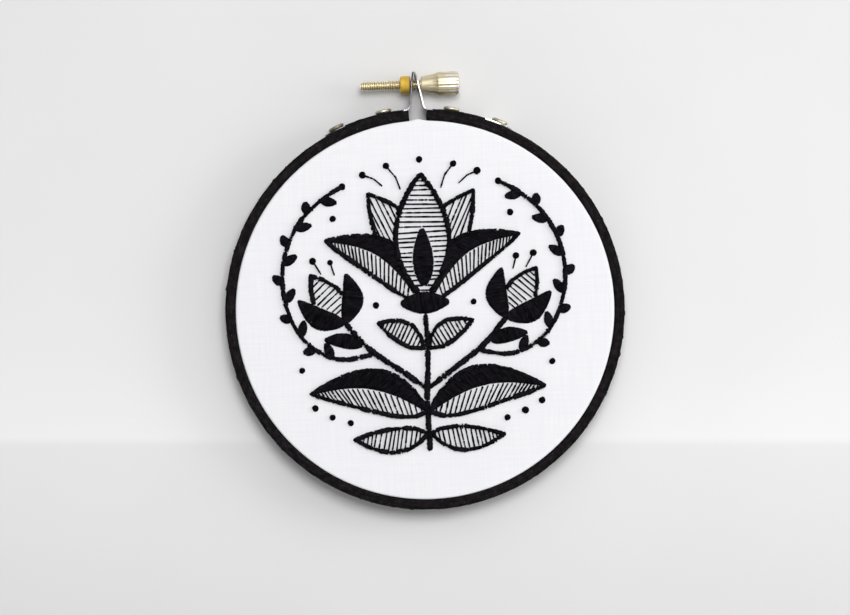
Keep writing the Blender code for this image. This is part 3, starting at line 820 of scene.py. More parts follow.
def sewBloom():
    cup = sewPetal((-7.0, 2.0), (7.0, 2.0), 6.6, "solid", fullness=1.0)
    heart = sewPetal((0, 6.5), (0, 23.0), 6.2, "solid", masks=[cup], fullness=0.8)
    middle = sewPetal((0, 3.0), (0, 37.5), 15.0, "hatched", edge="rope", masks=[cup, heart], fullness=0.95)
    for flip in (1, -1):
        front = [cup, middle]
        outer = sewPetal((1.5, 2.0), (26.5, 20.0), 10.5, "halves", flip, bow=4.4, fullness=0.95,
                         gap=1.3, masks=front)
        sewPetal((1.0, 3.0), (14.5, 32.5), 13.0, "hatched", flip, bow=2.6, fullness=0.9, angle=66,
                 masks=[*front, outer])
        for points in (((5.6, 33.5), (6.8, 37.0), (9.2, 40.0)), ((10.6, 34.6), (12.8, 36.6), (15.8, 37.8))):
            path = smoothPath([at(p, flip) for p in points])
            stitches["hatch"] += backStitches(path, sewing["stamenLength"])
            knots.append(path[-1])
    return cup


def sewSide(flip):
    foot = (22.0, -3.0)
    left = sewPetal(foot, (21.5, 11.0), 6.4, "solid", flip, bow=2.0)
    right = sewPetal(foot, (35.0, 4.0), 6.4, "solid", flip, bow=-2.0)
    sewPetal(foot, (31.0, 10.5), 8.4, "hatched", flip, angle=-42, masks=[left, right])
    for points in (((24.6, 10.5), (25.6, 14.0)), ((28.2, 10.8), (30.4, 14.6))):
        stitches["hatch"].append(tuple(Vector(at(p, flip)) for p in points))
        knots.append(Vector(at(points[1], flip)))
    leaf = sewPetal((0.5, -28.0), (32.0, -22.0), 11.5, "halves", flip, bow=3.6, fullness=0.8)
    small = sewPetal((17.6, -9.2), (28.2, -7.2), 4.4, "solid", flip, bow=0.6)
    sewPetal((0.8, -10.5), (13.0, -3.2), 6.0, "hatched", flip, bow=1.2, angle=118, gap=1.15)
    sewStem([(0.3, -21.5), (8.5, -15.5), (16.0, -10.0), foot], flip, masks=[leaf, left, right])
    vine = sewStem([(14.0, -11.5), (24.0, -12.8), (33.2, -7.6), (38.2, 2.5), (38.6, 14.0),
                    (34.4, 24.4), (27.6, 31.2), (21.5, 34.8)], flip, "outline", masks=[small])
    for place in range(vineLeaves["count"]):
        share = vineLeaves["first"] + place * vineLeaves["step"]
        spot = pointAlong(vine, share)
        nudge = vineLeaves["nudge"]
        ahead = (pointAlong(vine, share + nudge) - pointAlong(vine, share - nudge)).normalized()
        outwards = Vector((ahead.y, -ahead.x)) * (flip if place % 2 else -flip)
        reach = (ahead * vineLeaves["lean"] + outwards) * vineLeaves["short" if place % 2 else "long"]
        sewPetal(spot, spot + reach, vineLeaves["width"], "solid", fullness=0.8)
    knots.append(vine[-1])
    sewPetal((0.4, -34.0), (20.5, -35.0), 6.6, "hatched", flip, bow=-1.2, angle=100, gap=1.2)
    for spot in ((21.6, -30.4), (26.6, -28.6), (31.2, -26.0), (34.4, -15.4), (13.4, 1.8), (24.4, 26.0)):
        knots.append(Vector(at(spot, flip)))


def drawDesign():
    cup = sewBloom()
    for flip in (1, -1):
        sewSide(flip)
    sewStem([(0, 0), (0.4, -12), (-0.3, -24), (0, -38.5)], masks=[cup])
    knots.append(Vector((0, 41.5)))
    print("design:", {kind: len(sewn) for kind, sewn in stitches.items()}, len(knots), "knots")


def stitchTree():
    # each edge of the guide is a stitch that dives into the cloth at both ends
    tree, given = newTree("threadStitch", [
        "Thread Radius", "Pinch", "Size Spread", "Lift", "Sink", "Dive", "Twist", "Ply Depth", "Flatness",
        "Wander", "Cloth Height"], ["Plies", "Steps", "Sides"])
    line = addNode(tree, "GeometryNodeMeshToCurve", inputs={"Mesh": given["Guide"]})
    line = addNode(tree, "GeometryNodeResampleCurve", {"mode": "COUNT"}, {
        "Curve": line, "Count": given["Steps"]})
    walked = addNode(tree, "GeometryNodeSplineParameter").outputs["Length"]
    line = addNode(tree, "GeometryNodeStoreNamedAttribute", numberOnPoints, {
        "Geometry": line, "Name": "along", "Value": walked})
    total = addNode(tree, "GeometryNodeSplineLength").outputs["Length"]
    left = addNode(tree, "ShaderNodeMath", {"operation": "SUBTRACT"}, {0: total, 1: walked})
    nearest = addNode(tree, "ShaderNodeMath", {"operation": "MINIMUM"}, {0: walked, 1: left})
    risen = addNode(tree, "ShaderNodeMapRange", {"interpolation_type": "SMOOTHSTEP"}, {
        "Value": nearest, "From Min": 0.0, "From Max": given["Dive"]})
    height = addNode(tree, "ShaderNodeMapRange", inputs={
        "Value": risen, "To Min": given["Sink"], "To Max": given["Lift"]})
    place = addNode(tree, "GeometryNodeInputPosition")
    drift = addNode(tree, "ShaderNodeTexNoise", inputs={
        "Vector": place, "Scale": sewing["wandersPerMetre"], "Detail": 1.0})
    aside = addNode(tree, "ShaderNodeVectorMath", {"operation": "SUBTRACT"}, {
        0: drift.outputs["Color"], 1: (0.5, 0.5, 0.5)})
    aside = addNode(tree, "ShaderNodeVectorMath", {"operation": "SCALE"}, {
        0: aside, "Scale": given["Wander"]})
    lifted = addNode(tree, "ShaderNodeCombineXYZ", inputs={"Z": height})
    offset = addNode(tree, "ShaderNodeVectorMath", {"operation": "ADD"}, {0: aside, 1: lifted})
    line = addNode(tree, "GeometryNodeSetPosition", inputs={"Geometry": line, "Offset": offset})
    line = addNode(tree, "GeometryNodeSetCurveNormal", {"mode": "Z_UP"}, {"Curve": line})
    twist = addNode(tree, "ShaderNodeMath", {"operation": "MULTIPLY"}, {0: walked, 1: given["Twist"]})
    start = addNode(tree, "GeometryNodeInputNamedAttribute", {"data_type": "FLOAT_VECTOR"}, {"Name": "start"})
    started = addNode(tree, "ShaderNodeTexWhiteNoise", inputs={"Vector": start})
    phase = addNode(tree, "ShaderNodeMath", {"operation": "MULTIPLY_ADD"}, {
        0: started.outputs["Value"], 1: math.tau, 2: twist})
    line = addNode(tree, "GeometryNodeSetCurveTilt", inputs={"Curve": line, "Tilt": phase})
    # each stitch's random share of the floss's painted sheen
    line = addNode(tree, "GeometryNodeStoreNamedAttribute", numberOnPoints, {
        "Geometry": line, "Name": "paintedSheenShare", "Value": started.outputs["Value"]})
    # the thread's section: plies side by side round a circle
    section = addNode(tree, "GeometryNodeCurvePrimitiveCircle", {"mode": "RADIUS"}, {
        "Resolution": given["Sides"], "Radius": 1.0})
    section = addNode(tree, "GeometryNodeStoreNamedAttribute", vectorOnPoints, {
        "Geometry": section.outputs["Curve"], "Name": "round", "Value": place})
    turned = addNode(tree, "ShaderNodeMath", {"operation": "MULTIPLY"}, {
        0: addNode(tree, "GeometryNodeSplineParameter").outputs["Factor"], 1: math.tau})
    lobes = addNode(tree, "ShaderNodeMath", {"operation": "MULTIPLY"}, {0: turned, 1: given["Plies"]})
    ridge = addNode(tree, "ShaderNodeMath", {"operation": "COSINE"}, {0: lobes})
    swell = addNode(tree, "ShaderNodeMath", {"operation": "MULTIPLY_ADD"}, {
        0: ridge, 1: given["Ply Depth"], 2: 1.0})
    shaped = addNode(tree, "ShaderNodeVectorMath", {"operation": "SCALE"}, {0: place, "Scale": swell})
    section = addNode(tree, "GeometryNodeSetPosition", inputs={"Geometry": section, "Position": shaped})
    pinch = addNode(tree, "ShaderNodeMapRange", inputs={
        "Value": risen, "To Min": given["Pinch"], "To Max": 1.0})
    least = addNode(tree, "ShaderNodeMath", {"operation": "SUBTRACT"}, {0: 1.0, 1: given["Size Spread"]})
    most = addNode(tree, "ShaderNodeMath", {"operation": "ADD"}, {0: 1.0, 1: given["Size Spread"]})
    own = addNode(tree, "ShaderNodeMapRange", inputs={
        "Value": started.outputs["Value"], "To Min": least, "To Max": most})
    thick = addNode(tree, "ShaderNodeMath", {"operation": "MULTIPLY"}, {0: pinch, 1: given["Thread Radius"]})
    thick = addNode(tree, "ShaderNodeMath", {"operation": "MULTIPLY"}, {0: thick, 1: own})
    sewn = addNode(tree, "GeometryNodeCurveToMesh", inputs={
        "Curve": line, "Profile Curve": section, "Scale": thick, "Fill Caps": True})
    # pressed flat against the cloth
    pressed = addNode(tree, "ShaderNodeCombineXYZ", inputs={"X": 1.0, "Y": 1.0, "Z": given["Flatness"]})
    share = addNode(tree, "ShaderNodeMath", {"operation": "SUBTRACT"}, {0: 1.0, 1: given["Flatness"]})
    back = addNode(tree, "ShaderNodeMath", {"operation": "MULTIPLY"}, {0: share, 1: given["Cloth Height"]})
    back = addNode(tree, "ShaderNodeCombineXYZ", inputs={"Z": back})
    sewn = addNode(tree, "GeometryNodeTransform", inputs={
        "Geometry": sewn, "Scale": pressed, "Translation": back})
    # where each point is round the thread and along it, for its fibres
    spot = addNode(tree, "GeometryNodeInputNamedAttribute", {"data_type": "FLOAT_VECTOR"}, {"Name": "round"})
    rounded = addNode(tree, "ShaderNodeSeparateXYZ", inputs={0: spot})
    girth = []
    for axis in ("X", "Y"):
        girth.append(addNode(tree, "ShaderNodeMath", {"operation": "MULTIPLY"}, {
            0: rounded.outputs[axis], 1: given["Thread Radius"]}))
    flown = addNode(tree, "GeometryNodeInputNamedAttribute", {"data_type": "FLOAT"}, {"Name": "along"})
    fibre = addNode(tree, "ShaderNodeCombineXYZ", inputs={"X": girth[0], "Y": girth[1], "Z": flown})
    sewn = addNode(tree, "GeometryNodeStoreNamedAttribute", vectorOnPoints, {
        "Geometry": sewn, "Name": "around", "Value": fibre})
    closeTree(tree, given, sewn)
    return tree


threadKinds = {
    "hatch": {"name": "hatchStitches", "width": 0.5, "spread": 0.12, "pinch": 0.8, "flatness": 0.9,
              "plies": 2, "steps": 12, "sides": 6, "twist": 14.0, "wander": 0.07, "layer": 0.0, "dive": 0.3,
              "overlap": 0.2, "sink": 0.3},
    "outline": {"name": "outlineStitches", "width": 1.24, "spread": 0.2, "pinch": 0.62, "flatness": 0.6,
                "plies": 4, "steps": 14, "sides": 14, "twist": 5.5, "wander": 0.2, "layer": 0.08, "dive": 0.8,
                "overlap": 0.4, "sink": 0.3},
    "rope": {"name": "stemStitches", "width": 1.45, "spread": 0.18, "pinch": 0.6, "flatness": 0.6, "plies": 4,
             "steps": 16, "sides": 14, "twist": 5.5, "wander": 0.2, "layer": 0.1, "dive": 1.1,
             "overlap": 0.2, "sink": 0.3},
    "satin": {"name": "satinStitches", "width": 0.66, "spread": 0.08, "pinch": 0.8, "flatness": 0.75,
              "plies": 2, "steps": 9, "sides": 6, "twist": 8.0, "wander": 0.08, "layer": 0.12, "dive": 0.4,
              "overlap": 0.1, "sink": 0.3},
}
reverse = {"name": "reverseStitches", "width": 0.55, "spread": 0.12, "pinch": 0.8, "flatness": 0.8,
           "plies": 2, "steps": 7, "sides": 5, "twist": 10.0, "wander": 0.1, "layer": -0.1, "dive": 0.5,
           "overlap": 0.0, "sink": -0.2, "shortestCarry": 0.8, "longestCarry": 9.0}


def stitchGuide(name, sewn, height, layer, overlap):
    mesh = bpy.data.meshes.new(name + "Guide")
    points = []
    for a, b in sewn:
        level = height + needle.uniform(0.0, layer) * mm
        more = (b - a).normalized() * overlap
        points += [hoopMiddle + Vector((*p * mm, level)) for p in (a - more, b + more)]
    mesh.from_pydata(points, [(i, i + 1) for i in range(0, len(points), 2)], [])
    starts = mesh.attributes.new("start", "FLOAT_VECTOR", "POINT")
    starts.data.foreach_set("vector", [c for i in range(len(points)) for c in points[i - i % 2]])
    return mesh


def reverseStitches():  # what the needle leaves behind the cloth, from each stitch on to the next one
    behind = []
    for kind, sewn in stitches.items():
        for (a, b), (c, d) in zip(sewn, sewn[1:]):
            passes = {"satin": (b, c), "hatch": needle.choice(((a, c), (b, d))), "outline": (a, d),
                      "rope": (a, d)}
            start, end = passes[kind]
            carried = reverse["shortestCarry"] < (end - start).length < reverse["longestCarry"]
            if carried and (c - b).length < reverse["longestCarry"]:
                behind.append((start, end))
    return behind


def sewThreads():
    tree = stitchTree()
    pieces = []
    for kind, sizes in {**threadKinds, "reverse": reverse}.items():
        radius = sizes["width"] / 2 * mm
        behind = kind == "reverse"
        side = -1 if behind else 1
        face = clothTop - cloth["thickness"] * mm if behind else clothTop
        sewn = reverseStitches() if behind else stitches[kind]
        guide = stitchGuide(sizes["name"], sewn, face, sizes["layer"], sizes["overlap"])
        piece = growPiece(sizes["name"], tree, {
            "Thread Radius": radius, "Lift": side * radius * sewing["rise"],
            "Sink": -side * (sizes["sink"] * mm + radius), "Dive": sizes["dive"] * mm,
            "Twist": math.tau / (sizes["twist"] * mm), "Plies": sizes["plies"],
            "Ply Depth": sewing["plyDepth"], "Pinch": sizes["pinch"], "Size Spread": sizes["spread"],
            "Flatness": sizes["flatness"], "Steps": sizes["steps"], "Sides": sizes["sides"],
            "Wander": sizes["wander"] * mm, "Cloth Height": face, "Finish": thread}, guide)
        fit(piece, "black_thread")
        pieces.append(piece)
    return pieces


knotSizes = {"turns": 2.6, "outerRadius": 0.7, "innerRadius": 0.22, "height": 0.4, "thread": 0.64, "sides": 8,
             "steps": 44, "lift": 0.05, "tilt": 0.2, "smallest": 0.85, "largest": 1.12}


def knotTree():
    # a French knot: thread wound into a small bead, each bead turned its own way
    tree, given = newTree("frenchKnot", [
        "Turns", "Outer Radius", "Inner Radius", "Height", "Thread Radius"], ["Sides", "Steps"])
    coil = addNode(tree, "GeometryNodeCurveSpiral", inputs={
        "Resolution": given["Steps"], "Rotations": given["Turns"], "Start Radius": given["Outer Radius"],
        "End Radius": given["Inner Radius"], "Height": given["Height"]})
    walked = addNode(tree, "GeometryNodeSplineParameter").outputs["Length"]
    coil = addNode(tree, "GeometryNodeStoreNamedAttribute", numberOnPoints, {
        "Geometry": coil, "Name": "along", "Value": walked})
    section = addNode(tree, "GeometryNodeCurvePrimitiveCircle", {"mode": "RADIUS"}, {
        "Resolution": given["Sides"], "Radius": given["Thread Radius"]})
    place = addNode(tree, "GeometryNodeInputPosition")
    section = addNode(tree, "GeometryNodeStoreNamedAttribute", vectorOnPoints, {
        "Geometry": section.outputs["Curve"], "Name": "around", "Value": place})
    bead = addNode(tree, "GeometryNodeCurveToMesh", inputs={
        "Curve": coil, "Profile Curve": section, "Fill Caps": True})
    tilt = knotSizes["tilt"]
    spin = addNode(tree, "FunctionNodeRandomValue", {"data_type": "FLOAT_VECTOR"}, {
        "Min": (-tilt, -tilt, 0.0), "Max": (tilt, tilt, math.tau), "Seed": 3})
    size = addNode(tree, "FunctionNodeRandomValue", {"data_type": "FLOAT"}, {
        "Min": knotSizes["smallest"], "Max": knotSizes["largest"], "Seed": 5})
    turn = addNode(tree, "FunctionNodeEulerToRotation", inputs={"Euler": spin})
    beads = addNode(tree, "GeometryNodeInstanceOnPoints", inputs={
        "Points": given["Guide"], "Instance": bead, "Rotation": turn, "Scale": size.outputs[1]})
    closeTree(tree, given, beads)
    return tree


def tieKnots():
    mesh = bpy.data.meshes.new("frenchKnotsGuide")
    height = clothTop + knotSizes["lift"] * mm
    mesh.from_pydata([hoopMiddle + Vector((*spot * mm, height)) for spot in knots], [], [])
    piece = growPiece("frenchKnots", knotTree(), {
        "Turns": knotSizes["turns"], "Outer Radius": knotSizes["outerRadius"] * mm,
        "Inner Radius": knotSizes["innerRadius"] * mm, "Height": knotSizes["height"] * mm,
        "Thread Radius": knotSizes["thread"] / 2 * mm, "Sides": knotSizes["sides"],
        "Steps": knotSizes["steps"], "Finish": thread}, mesh)
    fit(piece, "black_thread")
    return piece


# Clamp plates: steel strips that follow the rim, with their ends bent up as ears


plates = {"thickness": 0.42, "halfWidth": 3.7, "gap": 0.02, "endAngle": 27.8, "bendRadius": 1.5,
          "holeRadius": 1.55, "cutLength": 14.0, "edgeWear": 0.08, "paintLump": 0.16, "lumpSize": 1.7,
          "rimSteps": 40, "bendSteps": 8, "bendShare": 0.02, "earSteps": 8, "earFrom": 0.2, "earShare": 0.05,
          "rows": 8}
plateSides = {
    "left": {"side": -1, "earOffset": 1.3, "lean": 6.3, "paintEnd": 20.6, "paintStart": 0.04, "twist": 0.0},
    "right": {"side": 1, "earOffset": 0.3, "lean": 11.6, "paintEnd": 18.7, "paintStart": 0.07, "twist": 4.0},
}


def platePath(sizes):
    # the strip's middle line as (x, y, paint, slope across), from its far end to the top of its ear. It is
    # painted where paint is between 0 and 1, and the bend and the ear have less than 0, the ear the least
    rimRadius = hoopRadius / mm + plates["gap"] + plates["thickness"] / 2
    bendRadius = plates["bendRadius"]
    lean = math.radians(sizes["lean"])
    along, away = Vector((-math.sin(lean), math.cos(lean))), Vector((math.cos(lean), math.sin(lean)))
    hole = Vector((sizes["earOffset"], (screwSpot.y - hoopMiddle.y) / mm))
    start = hole + away * bendRadius
    rise = start.dot(along)
    down = math.sqrt(rise**2 + (rimRadius + bendRadius) ** 2 - start.length_squared) - rise
    bendMiddle = start + along * down
    bendAngle = math.atan2(bendMiddle.x, bendMiddle.y)
    endAngle, paintEnd = math.radians(plates["endAngle"]), math.radians(sizes["paintEnd"])
    slope = math.tan(math.radians(sizes["twist"]))
    path = []
    for i in range(plates["rimSteps"] + 1):
        turn = endAngle + (bendAngle - endAngle) * i / plates["rimSteps"]
        spot = Vector((math.sin(turn), math.cos(turn))) * rimRadius
        painted = (turn - bendAngle) / (paintEnd - bendAngle) - sizes["paintStart"]
        path.append((spot.x, spot.y, painted, 0.0))
    steps = plates["bendSteps"]
    for i in range(1, steps + 1):
        turn = 1.5 * math.pi - bendAngle + (lean + bendAngle - math.pi / 2) * i / steps
        spot = bendMiddle + Vector((math.cos(turn), math.sin(turn))) * bendRadius
        path.append((spot.x, spot.y, -plates["bendShare"] * i - sizes["paintStart"], slope * i / steps))
    steps = plates["earSteps"]
    for i in range(1, steps + 1):
        spot = hole + along * (down + (plates["halfWidth"] - down) * i / steps)
        path.append((spot.x, spot.y, -plates["earFrom"] - plates["earShare"] * i, slope))
    return path


def bendPlate(label, sizes):
    path = platePath(sizes)
    spots = [Vector(p[:2]) for p in path]
    walked = [0.0]
    for a, b in zip(spots, spots[1:]):
        walked.append(walked[-1] + (b - a).length)
    half, halfRows = plates["halfWidth"], plates["rows"] // 2
    roundings = [half * (1 - math.cos(math.radians(a))) for a in range(8, 90, 9)]  # closest at the ends
    ends = {*roundings, *(walked[-1] - r for r in roundings)}
    stations = sorted({*ends, *(w for w in walked if half < w < walked[-1] - half)})
    bm = bmesh.new()
    flat = {}
    rows = []
    for distance in stations:
        i = next(n for n in range(1, len(walked)) if distance <= walked[n] or n == len(walked) - 1)
        share = (distance - walked[i - 1]) / (walked[i] - walked[i - 1])
        x, y, paint, slope = (a + (b - a) * share for a, b in zip(path[i - 1], path[i]))
        toEnd = min(distance, walked[-1] - distance)
        reach = math.sqrt(max(0.0, half**2 - max(0.0, half - toEnd) ** 2))
        row = []
        for part in range(-halfRows, halfRows + 1):
            across = reach * part / halfRows
            lump = 1.0
            if 0.0 < paint < 1.0:
                place = Vector((sizes["side"] * x, y, across)) / plates["lumpSize"]
                lump += noise.noise(place) * plates["paintLump"] / math.hypot(x, y)
            spot = Vector((sizes["side"] * (x + slope * across) * lump, y * lump, across)) * mm
            point = bm.verts.new(hoopMiddle + spot + Vector((0, 0, screwSpot.z)))
            flat[point] = (paint, across * mm)
            row.append(point)
        rows.append(row)
    for near, far in zip(rows, rows[1:]):
        for i in range(plates["rows"]):
            bm.faces.new((near[i], far[i], far[i + 1], near[i + 1]))
    bmesh.ops.recalc_face_normals(bm, faces=bm.faces)
    piece = mappedPiece("clampPlate" + label.capitalize(), bm, "strip", flat, plateMetals[label])
    wall = piece.modifiers.new("plateThickness", "SOLIDIFY")
    wall.thickness = plates["thickness"] * mm
    wall.offset = 0.0
    wall.use_even_offset = True
    return piece


def earCutter():
    bm = bmesh.new()
    radius = plates["holeRadius"] * mm
    bmesh.ops.create_cone(bm, cap_ends=True, segments=48, radius1=radius, radius2=radius,
                          depth=plates["cutLength"] * mm)
    for point in bm.verts:
        point.co = screwSpot + Vector((point.co.z, point.co.x, point.co.y))
    mesh = bpy.data.meshes.new("earCutter")
    bm.to_mesh(mesh)
    bm.free()
    return addObject("earCutter", mesh)


def makePlates():
    cutter = earCutter()
    for label, sizes in plateSides.items():
        piece = bendPlate(label, sizes)
        hole = piece.modifiers.new("earHole", "BOOLEAN")
        hole.object = cutter
        worn = piece.modifiers.new("wornEdges", "BEVEL")
        worn.width = plates["edgeWear"] * mm
        worn.segments = 2
        worn.angle_limit = math.radians(50)
        keepShape(piece, sharpAngle=40)
        fit(piece, "plated_steel", f"clamp_plate_{label}")
    bpy.data.objects.remove(cutter)


# Rivets: hollow brass rivets with rolled heads, through plate and hoop


rivets = {"angles": (9.7, 23.8), "headRadius": 2.25, "eyeRadius": 0.75, "headHeight": 1.0, "shankRadius": 1.2,
          "shankWall": 0.35, "shankLength": 3.2, "shankTop": 0.3, "shankRounding": 0.1, "rolled": 0.49,
          "seatGap": 0.02, "steps": 40, "shadePerRivet": (0.0, 0.85, 0.1, 0.2)}


def turnedRing(tree, radius, wall, height, rounding, lift, steps):
    # a ring about Z with a rounded section, its middle at the height lift
    line = addNode(tree, "GeometryNodeCurvePrimitiveCircle", {"mode": "RADIUS"}, {
        "Resolution": steps, "Radius": radius})
    section = addNode(tree, "GeometryNodeCurvePrimitiveQuadrilateral", inputs={
        "Width": wall, "Height": height})
    section = addNode(tree, "GeometryNodeFilletCurve", {"mode": "POLY"}, {
        "Curve": section, "Count": 6, "Radius": rounding, "Limit Radius": True})
    band = addNode(tree, "GeometryNodeCurveToMesh", inputs={
        "Curve": line.outputs["Curve"], "Profile Curve": section})
    # points of two roundings that fall together become one
    band = addNode(tree, "GeometryNodeMergeByDistance", inputs={"Geometry": band, "Distance": 0.002 * mm})
    rise = addNode(tree, "ShaderNodeCombineXYZ", inputs={"Z": lift})
    return addNode(tree, "GeometryNodeTransform", inputs={"Geometry": band, "Translation": rise})


def rivetTree():
    tree, given = newTree("hollowRivet", [
        "Head Radius", "Head Wall", "Head Height", "Head Rounding", "Head Lift", "Shank Radius", "Shank Wall",
        "Shank Height", "Shank Rounding", "Shank Lift"], ["Steps"])
    measures = ("Radius", "Wall", "Height", "Rounding", "Lift")
    shank, head = (turnedRing(tree, *(given[f"{part} {measure}"] for measure in measures), given["Steps"])
                   for part in ("Shank", "Head"))
    rivet = addNode(tree, "GeometryNodeJoinGeometry")
    for shape in (shank, head):
        tree.links.new(shape.outputs[0], rivet.inputs[0])
    facing = addNode(tree, "GeometryNodeInputNamedAttribute", {"data_type": "FLOAT_VECTOR"}, {
        "Name": "facing"})
    turn = addNode(tree, "FunctionNodeAlignRotationToVector", {"axis": "Z"}, {"Vector": facing})
    row = addNode(tree, "GeometryNodeInstanceOnPoints", inputs={
        "Points": given["Guide"], "Instance": rivet, "Rotation": turn})
    closeTree(tree, given, row)
    return tree


def setRivets():
    angles = [side * math.radians(angle) for side in (-1, 1) for angle in rivets["angles"]]
    ways = [Vector((math.sin(angle), math.cos(angle), 0)) for angle in angles]
    plateFace = hoopRadius + (plates["gap"] + plates["thickness"]) * mm
    guide = bpy.data.meshes.new("hollowRivetsGuide")
    guide.from_pydata([hoopMiddle + way * plateFace + Vector((0, 0, screwSpot.z)) for way in ways], [], [])
    facing = guide.attributes.new("facing", "FLOAT_VECTOR", "POINT")
    facing.data.foreach_set("vector", [c for way in ways for c in way])
    # each rivet's worn value darkens it: painted shade for how light falls on each rivet, the left far one
    # most
    guide.attributes.new("worn", "FLOAT", "POINT").data.foreach_set("value", rivets["shadePerRivet"])
    head, eye, height = rivets["headRadius"] * mm, rivets["eyeRadius"] * mm, rivets["headHeight"] * mm
    shank, wall, length = rivets["shankRadius"] * mm, rivets["shankWall"] * mm, rivets["shankLength"] * mm
    piece = growPiece("hollowRivets", rivetTree(), {
        "Head Radius": (head + eye) / 2, "Head Wall": head - eye, "Head Height": height,
        "Head Rounding": height * rivets["rolled"], "Head Lift": height / 2 + rivets["seatGap"] * mm,
        "Shank Radius": shank - wall / 2, "Shank Wall": wall, "Shank Height": length,
        "Shank Rounding": rivets["shankRounding"] * mm, "Shank Lift": rivets["shankTop"] * mm - length / 2,
        "Steps": rivets["steps"], "Finish": rivetBrass}, guide, sharpAngle=45)
    nodes = [f"rivet_{side}_{place}" for side in ("left", "right") for place in ("near", "far")]
    fit(piece, "pale_brass", *nodes)


# Nut and screw, turned about the screw's line


nut = {"outerRadius": 2.42, "bore": 1.3, "length": 2.85, "middle": -3.1, "chamfer": 0.5, "steps": 72}
screw = {"tip": -15.5, "threadEnd": 1.7, "crest": 1.35, "root": 1.12, "pitch": 0.5, "tipTaper": 0.7,
         "tipShare": 0.72, "crestTo": 0.06, "rootFrom": 0.42, "grooveShadeFrom": 0.27, "grooveShadeFull": 0.45,
         "threadSides": 40, "threadSteps": 340, "flutes": 16, "fluteDepth": 0.08, "grooveEdge": 0.2,
         "flutesStart": 1.3, "flutesFull": 6.3, "wornTo": 5.0, "wholeFrom": 10.0, "headSides": 180,
         "headSteps": 110}
headProfile = ((1.25, 1.9), (1.4, 2.2), (4.6, 2.75), (5.5, 3.0), (6.1, 3.27), (11.0, 3.3), (11.6, 3.05),
               (11.75, 2.7))  # distance along the screw, and radius there


def nutTree():
    tree, given = newTree("roundNut", ["Ring Radius", "Wall", "Length", "Chamfer"], ["Steps"], ["Place"])
    sizes = [given[label] for label in ("Ring Radius", "Wall", "Length", "Chamfer")]
    band = turnedRing(tree, *sizes, 0.0, given["Steps"])
    band = addNode(tree, "GeometryNodeTransform", inputs={
        "Geometry": band, "Rotation": (0.0, math.pi / 2, 0.0), "Translation": given["Place"]})
    closeTree(tree, given, band)
    return tree


def turnedAboutX(tree, rod, share, radius, angle, low, high, line):
    # lays a cylinder's side out along the screw's line, at the radius that the field gives
    x = addNode(tree, "ShaderNodeMapRange", {"clamp": False}, {"Value": share, "To Min": low, "To Max": high})
    across = []
    for wave in ("COSINE", "SINE"):
        turned = addNode(tree, "ShaderNodeMath", {"operation": wave}, {0: angle})
        across.append(addNode(tree, "ShaderNodeMath", {"operation": "MULTIPLY"}, {0: turned, 1: radius}))
    spot = addNode(tree, "ShaderNodeCombineXYZ", inputs={"X": x, "Y": across[0], "Z": across[1]})
    spot = addNode(tree, "ShaderNodeVectorMath", {"operation": "ADD"}, {0: spot, 1: line})
    return addNode(tree, "GeometryNodeSetPosition", inputs={"Geometry": rod, "Position": spot})


def unitRod(tree, given):
    # a plain cylinder, how far along it each point is, from 0 to 1, and the point's angle about Z
    rod = addNode(tree, "GeometryNodeMeshCylinder", {"fill_type": "NGON"}, {
        "Vertices": given["Sides"], "Side Segments": given["Steps"], "Radius": 1.0, "Depth": 1.0})
    parts = addNode(tree, "ShaderNodeSeparateXYZ", inputs={0: addNode(tree, "GeometryNodeInputPosition")})
    share = addNode(tree, "ShaderNodeMath", {"operation": "ADD"}, {0: parts.outputs["Z"], 1: 0.5})
    angle = addNode(tree, "ShaderNodeMath", {"operation": "ARCTAN2"}, {
        0: parts.outputs["Y"], 1: parts.outputs["X"]})
    return rod, share, angle


def threadTree():
    tree, given = newTree("screwThread", [
        "Tip", "End", "Crest", "Root", "Pitch", "Taper"], ["Sides", "Steps"], ["Line"])
    rod, share, angle = unitRod(tree, given)
    x = addNode(tree, "ShaderNodeMapRange", inputs={
        "Value": share, "To Min": given["Tip"], "To Max": given["End"]})
    turns = addNode(tree, "ShaderNodeMath", {"operation": "DIVIDE"}, {0: x, 1: given["Pitch"]})
    spun = addNode(tree, "ShaderNodeMath", {"operation": "DIVIDE"}, {0: angle, 1: math.tau})
    phase = addNode(tree, "ShaderNodeMath", {"operation": "ADD"}, {0: turns, 1: spun})
    part = addNode(tree, "ShaderNodeMath", {"operation": "FRACT"}, {0: phase})
    middle = addNode(tree, "ShaderNodeMath", {"operation": "SUBTRACT"}, {0: part, 1: 0.5})
    slope = addNode(tree, "ShaderNodeMath", {"operation": "ABSOLUTE"}, {0: middle})
    ridge = addNode(tree, "ShaderNodeMapRange", inputs={
        "Value": slope, "From Min": screw["crestTo"], "From Max": screw["rootFrom"],
        "To Min": given["Crest"], "To Max": given["Root"]})
    # the thread's roots are marked for the brass's painted shade
    groove = addNode(tree, "ShaderNodeMapRange", inputs={
        "Value": slope, "From Min": screw["grooveShadeFrom"], "From Max": screw["grooveShadeFull"]})
    rod = addNode(tree, "GeometryNodeStoreNamedAttribute", numberOnPoints, {
        "Geometry": rod, "Name": "groove", "Value": groove})
    tapered = addNode(tree, "ShaderNodeMath", {"operation": "ADD"}, {0: given["Tip"], 1: given["Taper"]})
    chamfer = addNode(tree, "ShaderNodeMapRange", inputs={
        "Value": x, "From Min": given["Tip"], "From Max": tapered, "To Min": screw["tipShare"]})
    radius = addNode(tree, "ShaderNodeMath", {"operation": "MULTIPLY"}, {0: ridge, 1: chamfer})
    rod = turnedAboutX(tree, rod, share, radius, angle, given["Tip"], given["End"], given["Line"])
    closeTree(tree, given, rod)
    return tree


